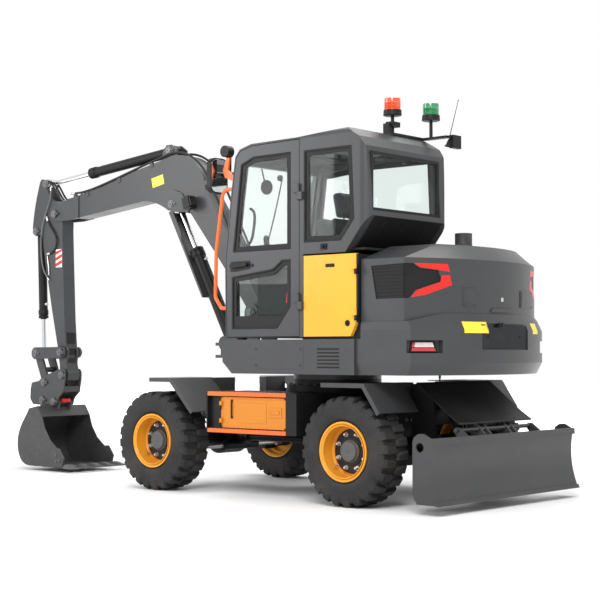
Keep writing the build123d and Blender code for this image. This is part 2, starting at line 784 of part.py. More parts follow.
# ---------------------------------------------------------------- cab
roof_line = [(311, 2755), (262, 2812), (136, 2846)]
cab_side = [
    (414, cab_low),
    (424, 1930),
    (362, 2426),
    *roof_line,
    (-355, 2852),
    (-692, 2877),
    (-839, 2888),
    (-973, 2806),
    (-1028, 2731),
    (-1060, 2202),
    (-838, 1932),
    (-418, 1932),
    (-418, cab_low),
]
with BuildSketch(side(0)) as inner_line:
    with BuildLine():
        Polyline(*cab_side, close=True)
    make_face()
    offset(amount=-cab_wall, kind=Kind.INTERSECTION)
door_line = [
    (door_back, cab_low + 8),
    (398, cab_low + 8),
    (408, 1928),
    (346, 2420),
    (296, 2745),
    (250, 2796),
    (130, 2826),
    (-355, 2832),
    (door_back, 2832),
]
with BuildSketch(side(cab_left)) as door_face:
    with BuildLine():
        Polyline(*door_line, close=True)
    make_face()
with BuildSketch(side(cab_left + 1)) as door_hole:
    with BuildLine():
        Polyline(*door_line, close=True)
    make_face()
    offset(amount=door_gap, kind=Kind.INTERSECTION)
with BuildSketch(side(cab_left)) as door_way:
    with BuildLine():
        Polyline(*door_line, close=True)
    make_face()
    offset(amount=-45, kind=Kind.INTERSECTION)
door_hinge_x = door_back - 3
door_hinges = (1564, 2420)
upper_glass = [(338, 1978), (248, 2690), (110, 2742), (-291, 2745), (-291, 1979)]
lower_glass = [(348, 1783), (348, 1356), (-149, 1355), (-291, 1527), (-291, 1900), (-194, 1900), (-97, 1831)]
rear_side_glass = [(-425, 2742), (-425, 2020), (-800, 2020), (-930, 2180), (-905, 2741)]
right_glass = [(338, 1990), (240, 2700), (-291, 2745), (-905, 2741), (-930, 2180), (-800, 2020)]
front_low, front_high = cab_right + 60, cab_left - 125
front_glass = [(front_low, 1400), (front_low, 2690), (front_high, 2690), (front_high, 1400)]
rear_glass = [(-10, 2240), (-10, 2690), (862, 2690), (862, 2240)]
roof_glass = [(-40, 0), (-40, 780), (-340, 780), (-340, 0)]
with BuildPart() as cab_shell:
    slab(side(cab_left), cab_side, cab_left - cab_right)
    with BuildSketch(across(-1100)) as front_view:
        with BuildLine():
            Polyline((cab_left, 1200), (cab_left, 2889), (cab_right, 2889), (cab_right, 1200), close=True)
        make_face()
        fillet(front_view.vertices().group_by(Axis.Z)[-1], cab_round)
    extrude(front_view.sketch, amount=1600, mode=Mode.INTERSECT)
    with BuildSketch(level(1200)) as plan_view:
        with BuildLine():
            Polyline((500, cab_left), (-1061, cab_left), (-1061, cab_right), (500, cab_right), close=True)
        make_face()
        fillet(plan_view.vertices().group_by(Axis.X)[0], cab_round + 20)
    extrude(plan_view.sketch, amount=1800, mode=Mode.INTERSECT)
    extrude(
        inner_line.sketch.moved(Location((0, cab_left - 90, 0))),
        amount=cab_left - 90 - cab_right - cab_wall,
        mode=Mode.SUBTRACT,
    )
    extrude(door_hole.sketch, amount=door_depth + clear + 1, mode=Mode.SUBTRACT)
    extrude(door_way.sketch, amount=140, mode=Mode.SUBTRACT)
    slab(side(cab_left + 1), rear_side_glass, 120, Mode.SUBTRACT)
    slab(side(cab_right + 60), right_glass, 100, Mode.SUBTRACT)
    slab(across(250), front_glass, 250, Mode.SUBTRACT)
    slab(across(-1200), rear_glass, 260, Mode.SUBTRACT)
    slab(level(2780), roof_glass, 200, Mode.SUBTRACT)
    block(380, 421, front_low - 1, front_high + 1, 1880, 1930)
    for z in door_hinges:
        block(door_back - 45, door_hinge_x - 2, cab_left, hinge_y + hinge_r, z - 60, z)
        peg(level(z - 60), door_hinge_x, hinge_y, hinge_r, 60)
save(cab_shell, "cab_shell")

with BuildPart() as cab_door:
    extrude(door_face.sketch, amount=door_depth)
    slab(side(cab_left + 1), upper_glass, door_depth + 2, Mode.SUBTRACT)
    slab(side(cab_left + 1), lower_glass, door_depth + 2, Mode.SUBTRACT)
    for z in door_hinges:
        block(door_hinge_x + 2, door_back + 45, cab_left, hinge_y + hinge_r, z + slip, z + 60)
        peg(level(z + slip), door_hinge_x, hinge_y, hinge_r, 60)
save(cab_door, "cab_door")


def pane(plane, points, depth):
    """Glass that stops just short of its opening."""
    with BuildSketch(plane) as outline:
        with BuildLine():
            Polyline(*points, close=True)
        make_face()
        offset(amount=-slip, kind=Kind.INTERSECTION)
    extrude(outline.sketch, amount=depth)


with BuildPart() as door_glass:
    pane(side(cab_left - 12), upper_glass, glass_wall)
    pane(side(cab_left - 12), lower_glass, glass_wall)
save(door_glass, "door_glass")

with BuildPart() as cab_glass:
    pane(side(cab_left - 12), rear_side_glass, glass_wall)
    pane(side(cab_right + 20), right_glass, glass_wall)
    pane(level(2838), roof_glass, glass_wall)
    pane(across(-1030), rear_glass, glass_wall)
    wide = front_high - front_low - 2 * slip
    y = front_high - slip
    slab(side(y), [(404, 1930 + slip), (396, 1930 + slip), (292, 2690 - slip), (300, 2690 - slip)], wide)
    slab(side(y), [(396, 1400 + slip), (388, 1400 + slip), (396, 1880 - slip), (404, 1880 - slip)], wide)
save(cab_glass, "cab_glass")
print("cab done")

# ---------------------------------------------------------------- cab inside
floor_z = cab_low + cab_wall
wheel_mid = cab_left - 545        # the driver sits left of the cab's middle plane
console_right = cab_right + 50
console_left = cab_left - 99
with BuildPart() as seat:
    block(-290, 60, wheel_mid - 200, wheel_mid + 180, floor_z, floor_z + 230)
    block(-330, 130, wheel_mid - 250, wheel_mid + 230, floor_z + 230, floor_z + 340)
    slab(
        side(wheel_mid + 210),
        [(-330, floor_z + 340), (-220, floor_z + 340), (-300, floor_z + 900), (-390, floor_z + 880)],
        440,
    )
    slab(
        side(wheel_mid + 120),
        [(-386, floor_z + 860), (-306, floor_z + 870), (-330, floor_z + 1090), (-400, floor_z + 1080)],
        260,
    )
save(seat, "seat")

with BuildPart() as controls:
    slab(side(wheel_mid + 60), [(230, floor_z), (330, floor_z), (280, floor_z + 420), (200, floor_z + 420)], 120)
    wheel_plane = Plane(origin=(slew_x + 170, wheel_mid, floor_z + 470), x_dir=(0, 1, 0), z_dir=(-0.55, 0, 0.835))
    peg(wheel_plane.offset(-70), 0, 0, 26, 90)
    for turn in (0, 60, 120):
        with BuildSketch(wheel_plane) as spoke:
            Rectangle(340, 24, rotation=turn)
        extrude(spoke.sketch, amount=14)
    with BuildSketch(wheel_plane) as ring:
        Circle(185)
        Circle(158, mode=Mode.SUBTRACT)
    extrude(ring.sketch, amount=24)
    for y0, y1 in ((console_right, console_right + 165), (console_left - 126, console_left)):
        block(-330, 150, y0, y1, floor_z, floor_z + 520)
        peg(level(floor_z + 520), 100, (y0 + y1) / 2, 16, 150)
        peg(level(floor_z + 640), 100, (y0 + y1) / 2, 28, 70)
    block(130, 330, console_right, console_left, floor_z, floor_z + 20)
save(controls, "controls")

# ---------------------------------------------------------------- mirrors, rail, roof lamps
rail_r = 15
rail_y = cab_left - 25
mirror_y = cab_left - 135
with BuildPart() as grab_rail:
    with BuildLine() as path:
        FilletPolyline(
            (slew_x + 418.6, rail_y, 1530),
            (slew_x + 485, rail_y, 1530),
            (slew_x + 557, rail_y, 1620),
            (slew_x + 549, rail_y, 1990),
            (slew_x + 470, rail_y, 2500),
            (slew_x + 354, rail_y, 2500),
            radius=[30, 60, 300, 60],
        )
    with BuildSketch(Plane(origin=path.line @ 0, z_dir=path.line % 0)):
        Circle(rail_r)
    sweep(path=path.line)
    slab(side(rail_y + 6), [(337, 2590), (341.6, 2560), (446, 2600), (470, 2660), (430, 2760), (400, 2760), (416, 2660)], 20)
save(grab_rail, "grab_rail")

# left mirror ahead of the rail, right mirror on a bar from the cab's front corner
with BuildPart() as mirrors:
    for y0, y1, arm_y in ((mirror_y, mirror_y + 200, cab_left - 65), (cab_right - 290, cab_right - 90, cab_right + 20)):
        with BuildSketch(across(525)) as face:
            with BuildLine():
                Polyline((y0, 2475), (y1, 2475), (y1, 2768), (y0, 2768), close=True)
            make_face()
            fillet(face.vertices(), 58)
        extrude(face.sketch, amount=46)
        bar = 16
        low, high = sorted((arm_y, (y0 + y1) / 2))
        block(495, 525 + 2, low - bar, high + bar, 2610, 2610 + 2 * bar)
        block(334, 525, arm_y - bar, arm_y + bar, 2610, 2610 + 2 * bar)
    peg(side(mirror_y + 130), 440, 2815, 48, 70)
    block(425, 455, mirror_y + 60, mirror_y + 90, 2625, 2800)
save(mirrors, "mirrors")

# beacons on poles: place, then the height of the pole's top
beacons = [(-800, 279, 3055), (-915, -82, 3045)]
roof_back_z = 2888
with BuildPart() as roof_lamps:
    for x, y, top_z in beacons:
        peg(level(roof_back_z + slip + 10), x, y, 14, top_z - roof_back_z - 10)
        peg(level(top_z), x, y, 72, 40)
        peg(level(top_z + 40), x, y, 62, 92)
    block(-850, -750, -62, 350, roof_back_z + slip, roof_back_z + 20)
    block(-1080, -850, -110, -62, roof_back_z + slip, roof_back_z + 20)
    block(-850, -830, -110, -61, roof_back_z + slip, roof_back_z + 20)
    block(-1105, -1065, -235, -125, 2812, 2918)
    block(-1090, -1070, -140, -80, roof_back_z + slip, roof_back_z + 20)
    block(-820, -760, 310, 350, roof_back_z, 2985)
    block(-840, -770, 230, 330, 2960, 3000)
save(roof_lamps, "roof_lamps")
print("cab fittings done")

# ---------------------------------------------------------------- swing post
post_z0, post_z1 = 1092, 1220
ear_in, ear_out = boom_half, boom_half + 26
with BuildPart() as swing_post:
    peg(level(post_z0), swing_x, 0, 90, post_z1 - post_z0)
    peg(level(1040), swing_x, 0, 45, 1272 - 1040)
    block(780, 1010, -ear_out, ear_out, post_z0, post_z1)
    block(swing_x, 790, -80, 80, post_z0, post_z1)
    for y in (ear_out, -ear_in):
        strap(side(y), (880, 1150), foot_pin, 90, 78, ear_out - ear_in)
        strap(side(y), (900, 1160), boom_ram_base, 95, 66, ear_out - ear_in)
    peg(side(ear_out + 12), *foot_pin, pin_radius, 2 * ear_out + 24)
    peg(side(ear_out + 12), *boom_ram_base, pin_radius, 2 * ear_out + 24)
    for z in (post_z0, post_z1 - 28):
        slab(level(z), [(640, -60), (676, -175), (700, -208), (740, -208), (764, -175), (800, -60)], 28)
save(swing_post, "swing_post")

swing_z = (post_z0 + post_z1) / 2
ram("swing_ram", (*swing_base, swing_z), (*swing_lug, swing_z), 560, 32, 20, 44, 34, upright=False)

# ---------------------------------------------------------------- hose routes
# route: forward and up, for the pair on the boom, then the black and the light one on the arm
boom_route = [
    (930, 1838),
    (1040, 2020),
    (1150, 2216),
    (1262, 2424),
    (1372, 2628),
    (1488, 2834),
    (1658, 2978),
    (1872, 3038),
    (2090, 2990),
    (2310, 2941),
    (2540, 2885),
    (2770, 2830),
    (3000, 2778),
    (3230, 2744),
    (3360, 2750),
]
arm_route = [(3752, 2540), (3722, 2478), (3672, 2422), (3616, 2362), (3588, 2288), (3606, 2216), (3664, 2174), (3738, 2162)]
lead_route = [
    (3690, 2836),
    (3684, 2762),
    (3712, 2684),
    (3752, 2606),
    (3790, 2526),
    (3826, 2430),
    (3842, 2310),
    (3838, 2180),
    (3820, 2060),
    (3774, 1962),
    (3706, 1900),
]


# outline of a saddle under the middle of one run
def saddle(route, n, radius):
    (x0, z0), (x1, z1) = route[n], route[n + 1]
    span = hypot(x1 - x0, z1 - z0)
    ux, uz = (x1 - x0) / span, (z1 - z0) / span
    mx, mz = (x0 + x1) / 2, (z0 + z1) / 2
    corners = ((-20, radius + slip), (20, radius + slip), (20, radius + saddle_deep), (-20, radius + saddle_deep))
    return [(mx + ux * a + uz * b, mz + uz * a - ux * b) for a, b in corners]


# ---------------------------------------------------------------- boom
boom_back = [(2400, 2903), (2631, 2845), (2921, 2778), (3218, 2730), (3280, 2712), (3280, 2498), (2364, 2594)]
boom_front = [(2208, 2607), (2090, 2665), (1820, 2665), (1690, 2470), (1242, 1935), (960, 1560)]
boom_knee = ((1478, 2645), (1592, 2890), (1844, 2998))
fork_wall = 24
with BuildPart() as boom:
    bowed(
        side(boom_half - 6),
        [(780, 1560), (1174, 2205), (1340, 2450)],
        boom_knee,
        [(1938, 2990), (2073, 2965), *boom_back, *boom_front],
        2 * boom_half - 12,
    )
    peg(side(boom_half - 6), *foot_pin, 86, 2 * boom_half - 12)
    slab(side(boom_half - 6), [(800, 1500), (780, 1560), (960, 1560), (960, 1500)], 2 * boom_half - 12)
    for y in (boom_half + 4, -boom_half - 4 + fork_wall):
        bowed(
            side(y),
            [(3240, 2718), (3388, 2700), (3560, 2655)],
            ((3640, 2632), (3682, 2560), (3640, 2500)),
            [(3536, 2484), (3388, 2484), (3240, 2500)],
            fork_wall,
        )
    # doubled plates round the lift cylinder's upper eye
    for y in (boom_half + 4, -boom_half - 4 + fork_wall):
        bowed(
            side(y),
            [(1690, 2450), (1736, 2461), (1855, 2469)],
            ((1962, 2492), (2130, 2570), (2346, 2597)),
            [(2200, 2640), (2060, 2680), (1900, 2684), (1780, 2640), (1700, 2540)],
            fork_wall,
        )
    peg(side(ear_out + 12), *foot_pin, pin_radius + run_fit, 2 * ear_out + 24, Mode.SUBTRACT)
    peg(side(boom_half + 20), *arm_pin, pin_radius, 2 * boom_half + 40)
    for y in (72, -52):
        slab(side(y), [(1868, 2960), (1880, 3060), (1950, 3108), (2020, 3108), (2055, 3070), (2100, 2930)], 20)
    peg(side(76), *arm_ram_base, pin_radius, 152)
    for n in (1, 4, 8, 10, 12, 13):
        for y in (boom_hose_y, -boom_hose_y):
            slab(side(y + 12), saddle(boom_route, n, boom_hose_r), 24)
save(boom, "boom")

ram("boom_ram", (boom_ram_base[0], 0, boom_ram_base[1]), (boom_ram_pin[0], 0, boom_ram_pin[1]), 990, 50, 29, 58, 46)
ram("arm_ram", (arm_ram_base[0], 0, arm_ram_base[1]), (arm_ram_pin[0], 0, arm_ram_pin[1]), 1185, 40, 26, 52, 40)

# shield ahead of the lift cylinder, held by a bracket round its rod's eye
dx, dz = boom_ram_pin[0] - boom_ram_base[0], boom_ram_pin[1] - boom_ram_base[1]
ram_span = hypot(dx, dz)


# point at a distance along the lift cylinder, and ahead of its axis
def beside(along, ahead):
    x = boom_ram_base[0] + (dx * along + dz * ahead) / ram_span
    return x, boom_ram_base[1] + (dz * along - dx * ahead) / ram_span


guard_half = 76
guard_collar = 48
with BuildPart() as boom_guard:
    slab(side(guard_half), [beside(a, b) for a, b in ((525, 78), (1440, 78), (1440, 86), (525, 86))], 2 * guard_half)
    for y in (guard_half, -guard_half + 8):
        flange = ((525, 82), (540, 66), (1120, 66), (1200, 36), (1440, 36), (1440, 82))
        slab(side(y), [beside(a, b) for a, b in flange], 8)
        tab = ((1400, 40), (1425, -34), (1530, -34), (1530, 20), (1440, 60))
        slab(side(y), [beside(a, b) for a, b in tab], 8)
    peg(side(guard_half), *boom_ram_pin, guard_collar, guard_half - 46)
    peg(side(-46), *boom_ram_pin, guard_collar, guard_half - 46)
save(boom_guard, "boom_guard")

# ---------------------------------------------------------------- arm
with BuildPart() as arm:
    slab(
        side(arm_half),
        [
            (3514, 2600),
            (3560, 2650),
            (3660, 2700),
            (3740, 2700),
            (3800, 2560),
            (3838, 2350),
            (3790, 2100),
            (3722, 1800),
            (3671, 1575),
            (3582, 1223),
            (3549, 1043),
            (3545, 960),
            (3420, 960),
            (3445, 1043),
            (3455, 1215),
            (3480, 1494),
            (3510, 2100),
            (3522, 2400),
        ],
        2 * arm_half,
    )
    for y in (arm_half, -arm_half + lug_wall):
        bowed(
            side(y),
            [(3560, 2640), (3718, 2734), (3783, 2851), (3810, 2925), (3850, 2934), (3880, 2905)],
            ((3905, 2830), (3968, 2600), (3992, 2440)),
            [(3978, 2380), (3935, 2356), (3885, 2370), (3838, 2350), (3780, 2200), (3600, 2400)],
            lug_wall,
        )
        strap(side(y), (3500, 1080), rocker_pin, 52, 60, lug_wall)
    peg(side(arm_half), *bucket_pin, 66, 2 * arm_half)
    peg(side(arm_half + 1), *arm_pin, pin_radius + run_fit, 2 * arm_half + 2, Mode.SUBTRACT)
    peg(side(arm_half + 1), *bucket_pin, pin_radius + run_fit, 2 * arm_half + 2, Mode.SUBTRACT)
    peg(side(arm_half + 10), *bucket_ram_base, pin_radius, 2 * arm_half + 20)
    peg(side(130), *rocker_pin, pin_radius, 260)
    for (x, z), radius in zip(arm_pads, (arm_hose_r, arm_hose_r, lead_r, lead_r)):
        peg(side(arm_hose_y - radius - slip), x, z, 13, arm_hose_y - radius - slip - arm_half + 4)
save(arm, "arm")

ram(
    "bucket_ram",
    (bucket_ram_base[0], 0, bucket_ram_base[1]),
    (rocker_end[0], 0, rocker_end[1]),
    888,
    35,
    22,
    48,
    38,
)

# ---------------------------------------------------------------- hoses
# bend radii that a route's runs allow
def bends(route):
    radii = []
    for a, b, c in zip(route, route[1:], route[2:]):
        before, after = Vector(b[0] - a[0], b[1] - a[1]), Vector(c[0] - b[0], c[1] - b[1])
        half_turn = before.get_angle(after) / 2 * pi / 180
        radii.append(0.45 * min(before.length, after.length) / tan(half_turn))
    return radii


def hose(route, y, radius):
    radii = bends(route)
    points = [(slew_x + x, y, z) for x, z in route]
    with BuildLine() as line:
        FilletPolyline(*points, radius=radii)
    start = Vector(*points[1]) - Vector(*points[0])
    with BuildSketch(Plane(origin=points[0], x_dir=(0, 1, 0), z_dir=start)) as section:
        Circle(radius)
    sweep(section.sketch, path=line.line)
    print("hose", radius, "length", round(line.wires()[0].length), "bends", [round(r) for r in radii])


with BuildPart() as boom_hoses:
    for y in (boom_hose_y, -boom_hose_y):
        hose(boom_route, y, boom_hose_r)
save(boom_hoses, "boom_hoses")

with BuildPart() as arm_hoses:
    hose(arm_route, arm_hose_y, arm_hose_r)
    hose(lead_route, arm_hose_y, lead_r)
save(arm_hoses, "arm_hoses")

# ---------------------------------------------------------------- bucket linkage
with BuildPart() as rocker:
    for y in (117, -93):
        strap(side(y), rocker_pin, rocker_end, 55, 60, 24)
    for y, inner in ((117, 60), (-60, -117)):
        peg(side(y), *rocker_end, pin_radius, y - inner)
    # spacer between the two plates, ahead of the arm
    peg(side(117), 3700, 1164, 26, 234)
    for y in (118, -92):
        peg(side(y), *rocker_pin, pin_radius + run_fit, 26, Mode.SUBTRACT)
save(rocker, "rocker")

with BuildPart() as bucket_link:
    for y in (88, -64):
        strap(side(y), rocker_end, link_end, 48, 46, 24)
    mid = ((rocker_end[0] + link_end[0]) / 2, (rocker_end[1] + link_end[1]) / 2 - 20)
    peg(side(64), *mid, 26, 128)
    for y in (89, -63):
        peg(side(y), *rocker_end, pin_radius + run_fit, 26, Mode.SUBTRACT)
        peg(side(y), *link_end, pin_radius + 4, 26, Mode.SUBTRACT)
save(bucket_link, "bucket_link")

coupler_out, coupler_in = 109, 93
with BuildPart() as coupler:
    for y in (coupler_out, -coupler_in):
        slab(
            side(y),
            [
                (3428, 905),
                (3428, 975),
                (3452, 1003),
                (3529, 998),
                (3640, 962),
                (3763, 931),
                (3830, 880),
                (3940, 862),
                (3965, 800),
                (3969, 700),
                (3925, 645),
                (3860, 640),
                (3780, 640),
                (3700, 652),
                (3600, 656),
                (3560, 656),
                (3520, 720),
                (3450, 775),
            ],
            coupler_out - coupler_in,
        )
    block(3445, 3478, -coupler_in, coupler_in, 775, 830)
    block(3530, 3620, -coupler_in, coupler_in, 765, 785)
    for pin in bucket_pins:
        peg(side(coupler_out + 8), *pin, pin_radius, 2 * coupler_out + 16)
    peg(side(coupler_out + 8), *bucket_pin, pin_radius, 2 * coupler_out + 16)
    for y in (coupler_out + 8, -coupler_in):
        peg(side(y), *link_end, pin_radius, coupler_out + 8 - coupler_in)
save(coupler, "coupler")

# ---------------------------------------------------------------- bucket
bucket_top = [(3536, 542), (3607, 637), (3733, 612)]
bucket_foot = [(3727, 45), (3407, 45), (3160, 50)]
bucket_lip = [(3217, 67), (3230, 150), (3272, 211), (3409, 310), (3490, 420), (3514, 480)]
with BuildPart() as bucket:
    with BuildSketch(side(bucket_half)) as bucket_face:
        with BuildLine():
            Polyline(*bucket_top)
            Spline(bucket_top[2], (3868, 420), (3912, 260), (3868, 115), bucket_foot[0], tangents=[(0.6, -1), (-1, -0.1)])
            Polyline(*bucket_foot, *bucket_lip, bucket_top[0])
        make_face()
    extrude(bucket_face.sketch, amount=2 * bucket_half)
    with BuildSketch(side(bucket_half - bucket_wall)) as bucket_room:
        with BuildLine():
            Polyline((3727, 59), (3407, 59), (3200, 65), (3000, 68), (3000, 534), (3547, 534), (3614, 621), (3728, 599))
            Spline((3728, 599), (3855, 415), (3898, 260), (3856, 123), (3727, 59), tangents=[(0.6, -1), (-1, -0.1)])
        make_face()
    extrude(bucket_room.sketch, amount=2 * (bucket_half - bucket_wall), mode=Mode.SUBTRACT)
    for y in (84, -66):
        slab(
            side(y),
            [
                (3560, 600),
                (3543, 660),
                (3560, 714),
                (3600, 728),
                (3780, 738),
                (3828, 715),
                (3838, 640),
                (3852, 540),
                (3868, 430),
                (3735, 600),
            ],
            18,
        )
    for pin in bucket_pins:
        peg(side(85), *pin, pin_radius + slip, 170, Mode.SUBTRACT)
    for n in range(5):
        y = bucket_half - 22 - n * (2 * bucket_half - 44) / 4
        slab(side(y + 22), [(3260, 45), (3260, 62), (3120, 84), (2990, 60), (2980, 50), (3120, 40)], 44)
    for y in (bucket_half + 14, -bucket_half):
        slab(side(y), [(3340, 60), (3330, 230), (3250, 235), (3175, 140), (3200, 60)], 14)
save(bucket, "bucket")

ram("blade_ram", (blade_ram_base[0], 0, blade_ram_base[1]), (blade_ram_pin[0], 0, blade_ram_pin[1]), 300, 30, 20, 40, 40)
print("digging equipment done")
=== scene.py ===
import bmesh
import bpy
import json
from math import cos, pi, radians, sin
from mathutils import Matrix, Vector


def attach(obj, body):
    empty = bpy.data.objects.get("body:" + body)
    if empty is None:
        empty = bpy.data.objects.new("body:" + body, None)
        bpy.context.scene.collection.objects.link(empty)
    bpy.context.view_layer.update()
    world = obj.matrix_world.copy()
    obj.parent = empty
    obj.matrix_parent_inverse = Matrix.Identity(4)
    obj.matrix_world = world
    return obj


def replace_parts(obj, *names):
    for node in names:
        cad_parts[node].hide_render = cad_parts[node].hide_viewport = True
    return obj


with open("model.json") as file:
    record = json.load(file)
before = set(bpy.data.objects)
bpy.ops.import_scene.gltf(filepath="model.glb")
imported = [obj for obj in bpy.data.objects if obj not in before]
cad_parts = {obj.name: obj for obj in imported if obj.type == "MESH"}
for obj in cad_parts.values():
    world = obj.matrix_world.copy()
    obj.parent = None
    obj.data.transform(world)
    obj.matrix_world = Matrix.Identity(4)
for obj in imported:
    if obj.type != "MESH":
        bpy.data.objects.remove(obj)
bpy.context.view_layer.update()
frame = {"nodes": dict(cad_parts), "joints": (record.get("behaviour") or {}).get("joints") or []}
cadNodes = frame["nodes"]
jointAt = {j["name"]: Vector(j["pos_m"]) for j in frame["joints"] if "pos_m" in j}
slewX = jointAt["slew"].x      # lengths along the machine are counted from the slewing axis
print("frame loaded:", len(cadNodes), "CAD nodes")


def at(x, y, z):
    return Vector((slewX + x, y, z))


def wire(tree, *pairs):
    for a, b in pairs:
        tree.links.new(a, b)


def node(tree, kind, **values):
    made = tree.nodes.new("ShaderNode" + kind)
    for key, value in values.items():
        setattr(made, key, value)
    return made


def put(made, **values):
    # inputs of a shader node: an underscore stands for the space in a label
    for label, value in values.items():
        made.inputs[label.replace("_", " ")].default_value = value


# studio: floor, lights, camera
studio = {
    "floorSize": 60.0,
    "floorTone": 0.93,
    "floorFade": (3.0, 9.0, 0.0, 1.0),      # distance where the glow starts and is full, its two strengths
    "skyLight": 0.62,
    "keyPower": 620,
    "fillPower": 260,
    "topPower": 420,
    "lens": 85.58,
    "cameraSpot": (-8.778, 9.275, 1.177),
    "cameraTurn": -48.93,
    "cameraRise": 2.07,
}


def makeStudio(s):
    floorMesh = bpy.data.meshes.new("studioFloor")
    half = s["floorSize"] / 2
    corners = [(-half, -half, 0), (half, -half, 0), (half, half, 0), (-half, half, 0)]
    floorMesh.from_pydata(corners, [], [(0, 1, 2, 3)])
    floor = bpy.data.objects.new("studioFloor", floorMesh)
    bpy.context.collection.objects.link(floor)
    floorPaint = bpy.data.materials.new("floorPaint")
    floorPaint.use_nodes = True
    shader = floorPaint.node_tree.nodes["Principled BSDF"]
    tone = s["floorTone"]
    put(shader, Base_Color=(tone, tone, tone, 1), Roughness=0.7)
    # far from the machine the floor glows up to the sky's white
    tree = floorPaint.node_tree
    place = node(tree, "NewGeometry")
    reach = node(tree, "VectorMath", operation="LENGTH")
    fade = node(tree, "MapRange")
    for label, value in zip(("From Min", "From Max", "To Min", "To Max"), s["floorFade"]):
        fade.inputs[label].default_value = value
    wire(tree, (place.outputs["Position"], reach.inputs[0]), (reach.outputs["Value"], fade.inputs["Value"]))
    put(shader, Emission_Color=(1, 1, 1, 1))
    wire(tree, (fade.outputs["Result"], shader.inputs["Emission Strength"]))
    floorMesh.materials.append(floorPaint)

    world = bpy.data.worlds.new("studioSky")
    world.use_nodes = True
    bpy.context.scene.world = world
    tree = world.node_tree
    sky = tree.nodes["Background"]
    paths = node(tree, "LightPath")
    seen = node(tree, "Math", operation="MAXIMUM")
    seenThrough = node(tree, "Math", operation="MAXIMUM")
    strength = node(tree, "MapRange")
    put(strength, To_Min=s["skyLight"], To_Max=1.0)
    wire(
        tree,
        (paths.outputs["Is Camera Ray"], seen.inputs[0]), (paths.outputs["Is Glossy Ray"], seen.inputs[1]),
        (seen.outputs[0], seenThrough.inputs[0]),
        (paths.outputs["Is Transmission Ray"], seenThrough.inputs[1]),
        (seenThrough.outputs[0], strength.inputs["Value"]),
        (strength.outputs["Result"], sky.inputs["Strength"]),
    )
    put(sky, Color=(1, 1, 1, 1))

    lamps = [
        ("keyLamp", (-5.5, 6.5, 6.5), 4.0, s["keyPower"]),
        ("fillLamp", (5.0, 6.0, 4.0), 4.0, s["fillPower"]),
        ("topLamp", (-0.5, -1.5, 8.0), 6.0, s["topPower"]),
    ]
    for name, spot, size, power in lamps:
        lampData = bpy.data.lights.new(name, "AREA")
        lampData.size = size
        lampData.energy = power
        lamp = bpy.data.objects.new(name, lampData)
        lamp.location = spot
        aim = Vector((0, 0, 1.2)) - Vector(spot)
        lamp.rotation_euler = aim.to_track_quat("-Z", "Y").to_euler()
        bpy.context.collection.objects.link(lamp)

    cameraData = bpy.data.cameras.new("viewCamera")
    cameraData.lens = s["lens"]
    camera = bpy.data.objects.new("viewCamera", cameraData)
    camera.location = s["cameraSpot"]
    turn, rise = radians(s["cameraTurn"]), radians(s["cameraRise"])
    aim = Vector((cos(turn) * cos(rise), sin(turn) * cos(rise), sin(rise)))
    camera.rotation_euler = aim.to_track_quat("-Z", "Y").to_euler()
    bpy.context.collection.objects.link(camera)
    bpy.context.scene.camera = camera
    bpy.context.scene.view_settings.view_transform = "Standard"


makeStudio(studio)
print("studio ready")


# shader groups shared by the materials
def newGroup(name, inputs, outputs):
    group = bpy.data.node_groups.new(name, "ShaderNodeTree")
    for label, kind, value in inputs:
        socket = group.interface.new_socket(label, in_out="INPUT", socket_type="NodeSocket" + kind)
        if value is not None:
            socket.default_value = value
    for label, kind in outputs:
        group.interface.new_socket(label, in_out="OUTPUT", socket_type="NodeSocket" + kind)
    start = group.nodes.new("NodeGroupInput")
    end = group.nodes.new("NodeGroupOutput")
    return group, start, end


def noise(tree, vector, scale, detail=4.0, rough=0.55):
    made = node(tree, "TexNoise")
    put(made, Detail=detail, Roughness=rough)
    if isinstance(scale, (int, float)):
        put(made, Scale=scale)
    else:
        tree.links.new(scale, made.inputs["Scale"])
    tree.links.new(vector, made.inputs["Vector"])
    return made.outputs["Fac"]


def ramp(tree, value, low, high, start=0.0, end=1.0):
    made = node(tree, "MapRange")
    put(made, From_Min=low, From_Max=high, To_Min=start, To_Max=end)
    tree.links.new(value, made.inputs["Value"])
    return made.outputs["Result"]


def math(tree, operation, a, b):
    made = node(tree, "Math", operation=operation)
    for slot, value in enumerate((a, b)):
        if isinstance(value, (int, float)):
            made.inputs[slot].default_value = value
        else:
            tree.links.new(value, made.inputs[slot])
    return made.outputs[0]


def blendColour(tree, factor, a, b):
    made = node(tree, "Mix", data_type="RGBA")
    tree.links.new(factor, made.inputs[0])
    for slot, value in ((6, a), (7, b)):
        if isinstance(value, tuple):
            made.inputs[slot].default_value = value
        else:
            tree.links.new(value, made.inputs[slot])
    return made.outputs[2]


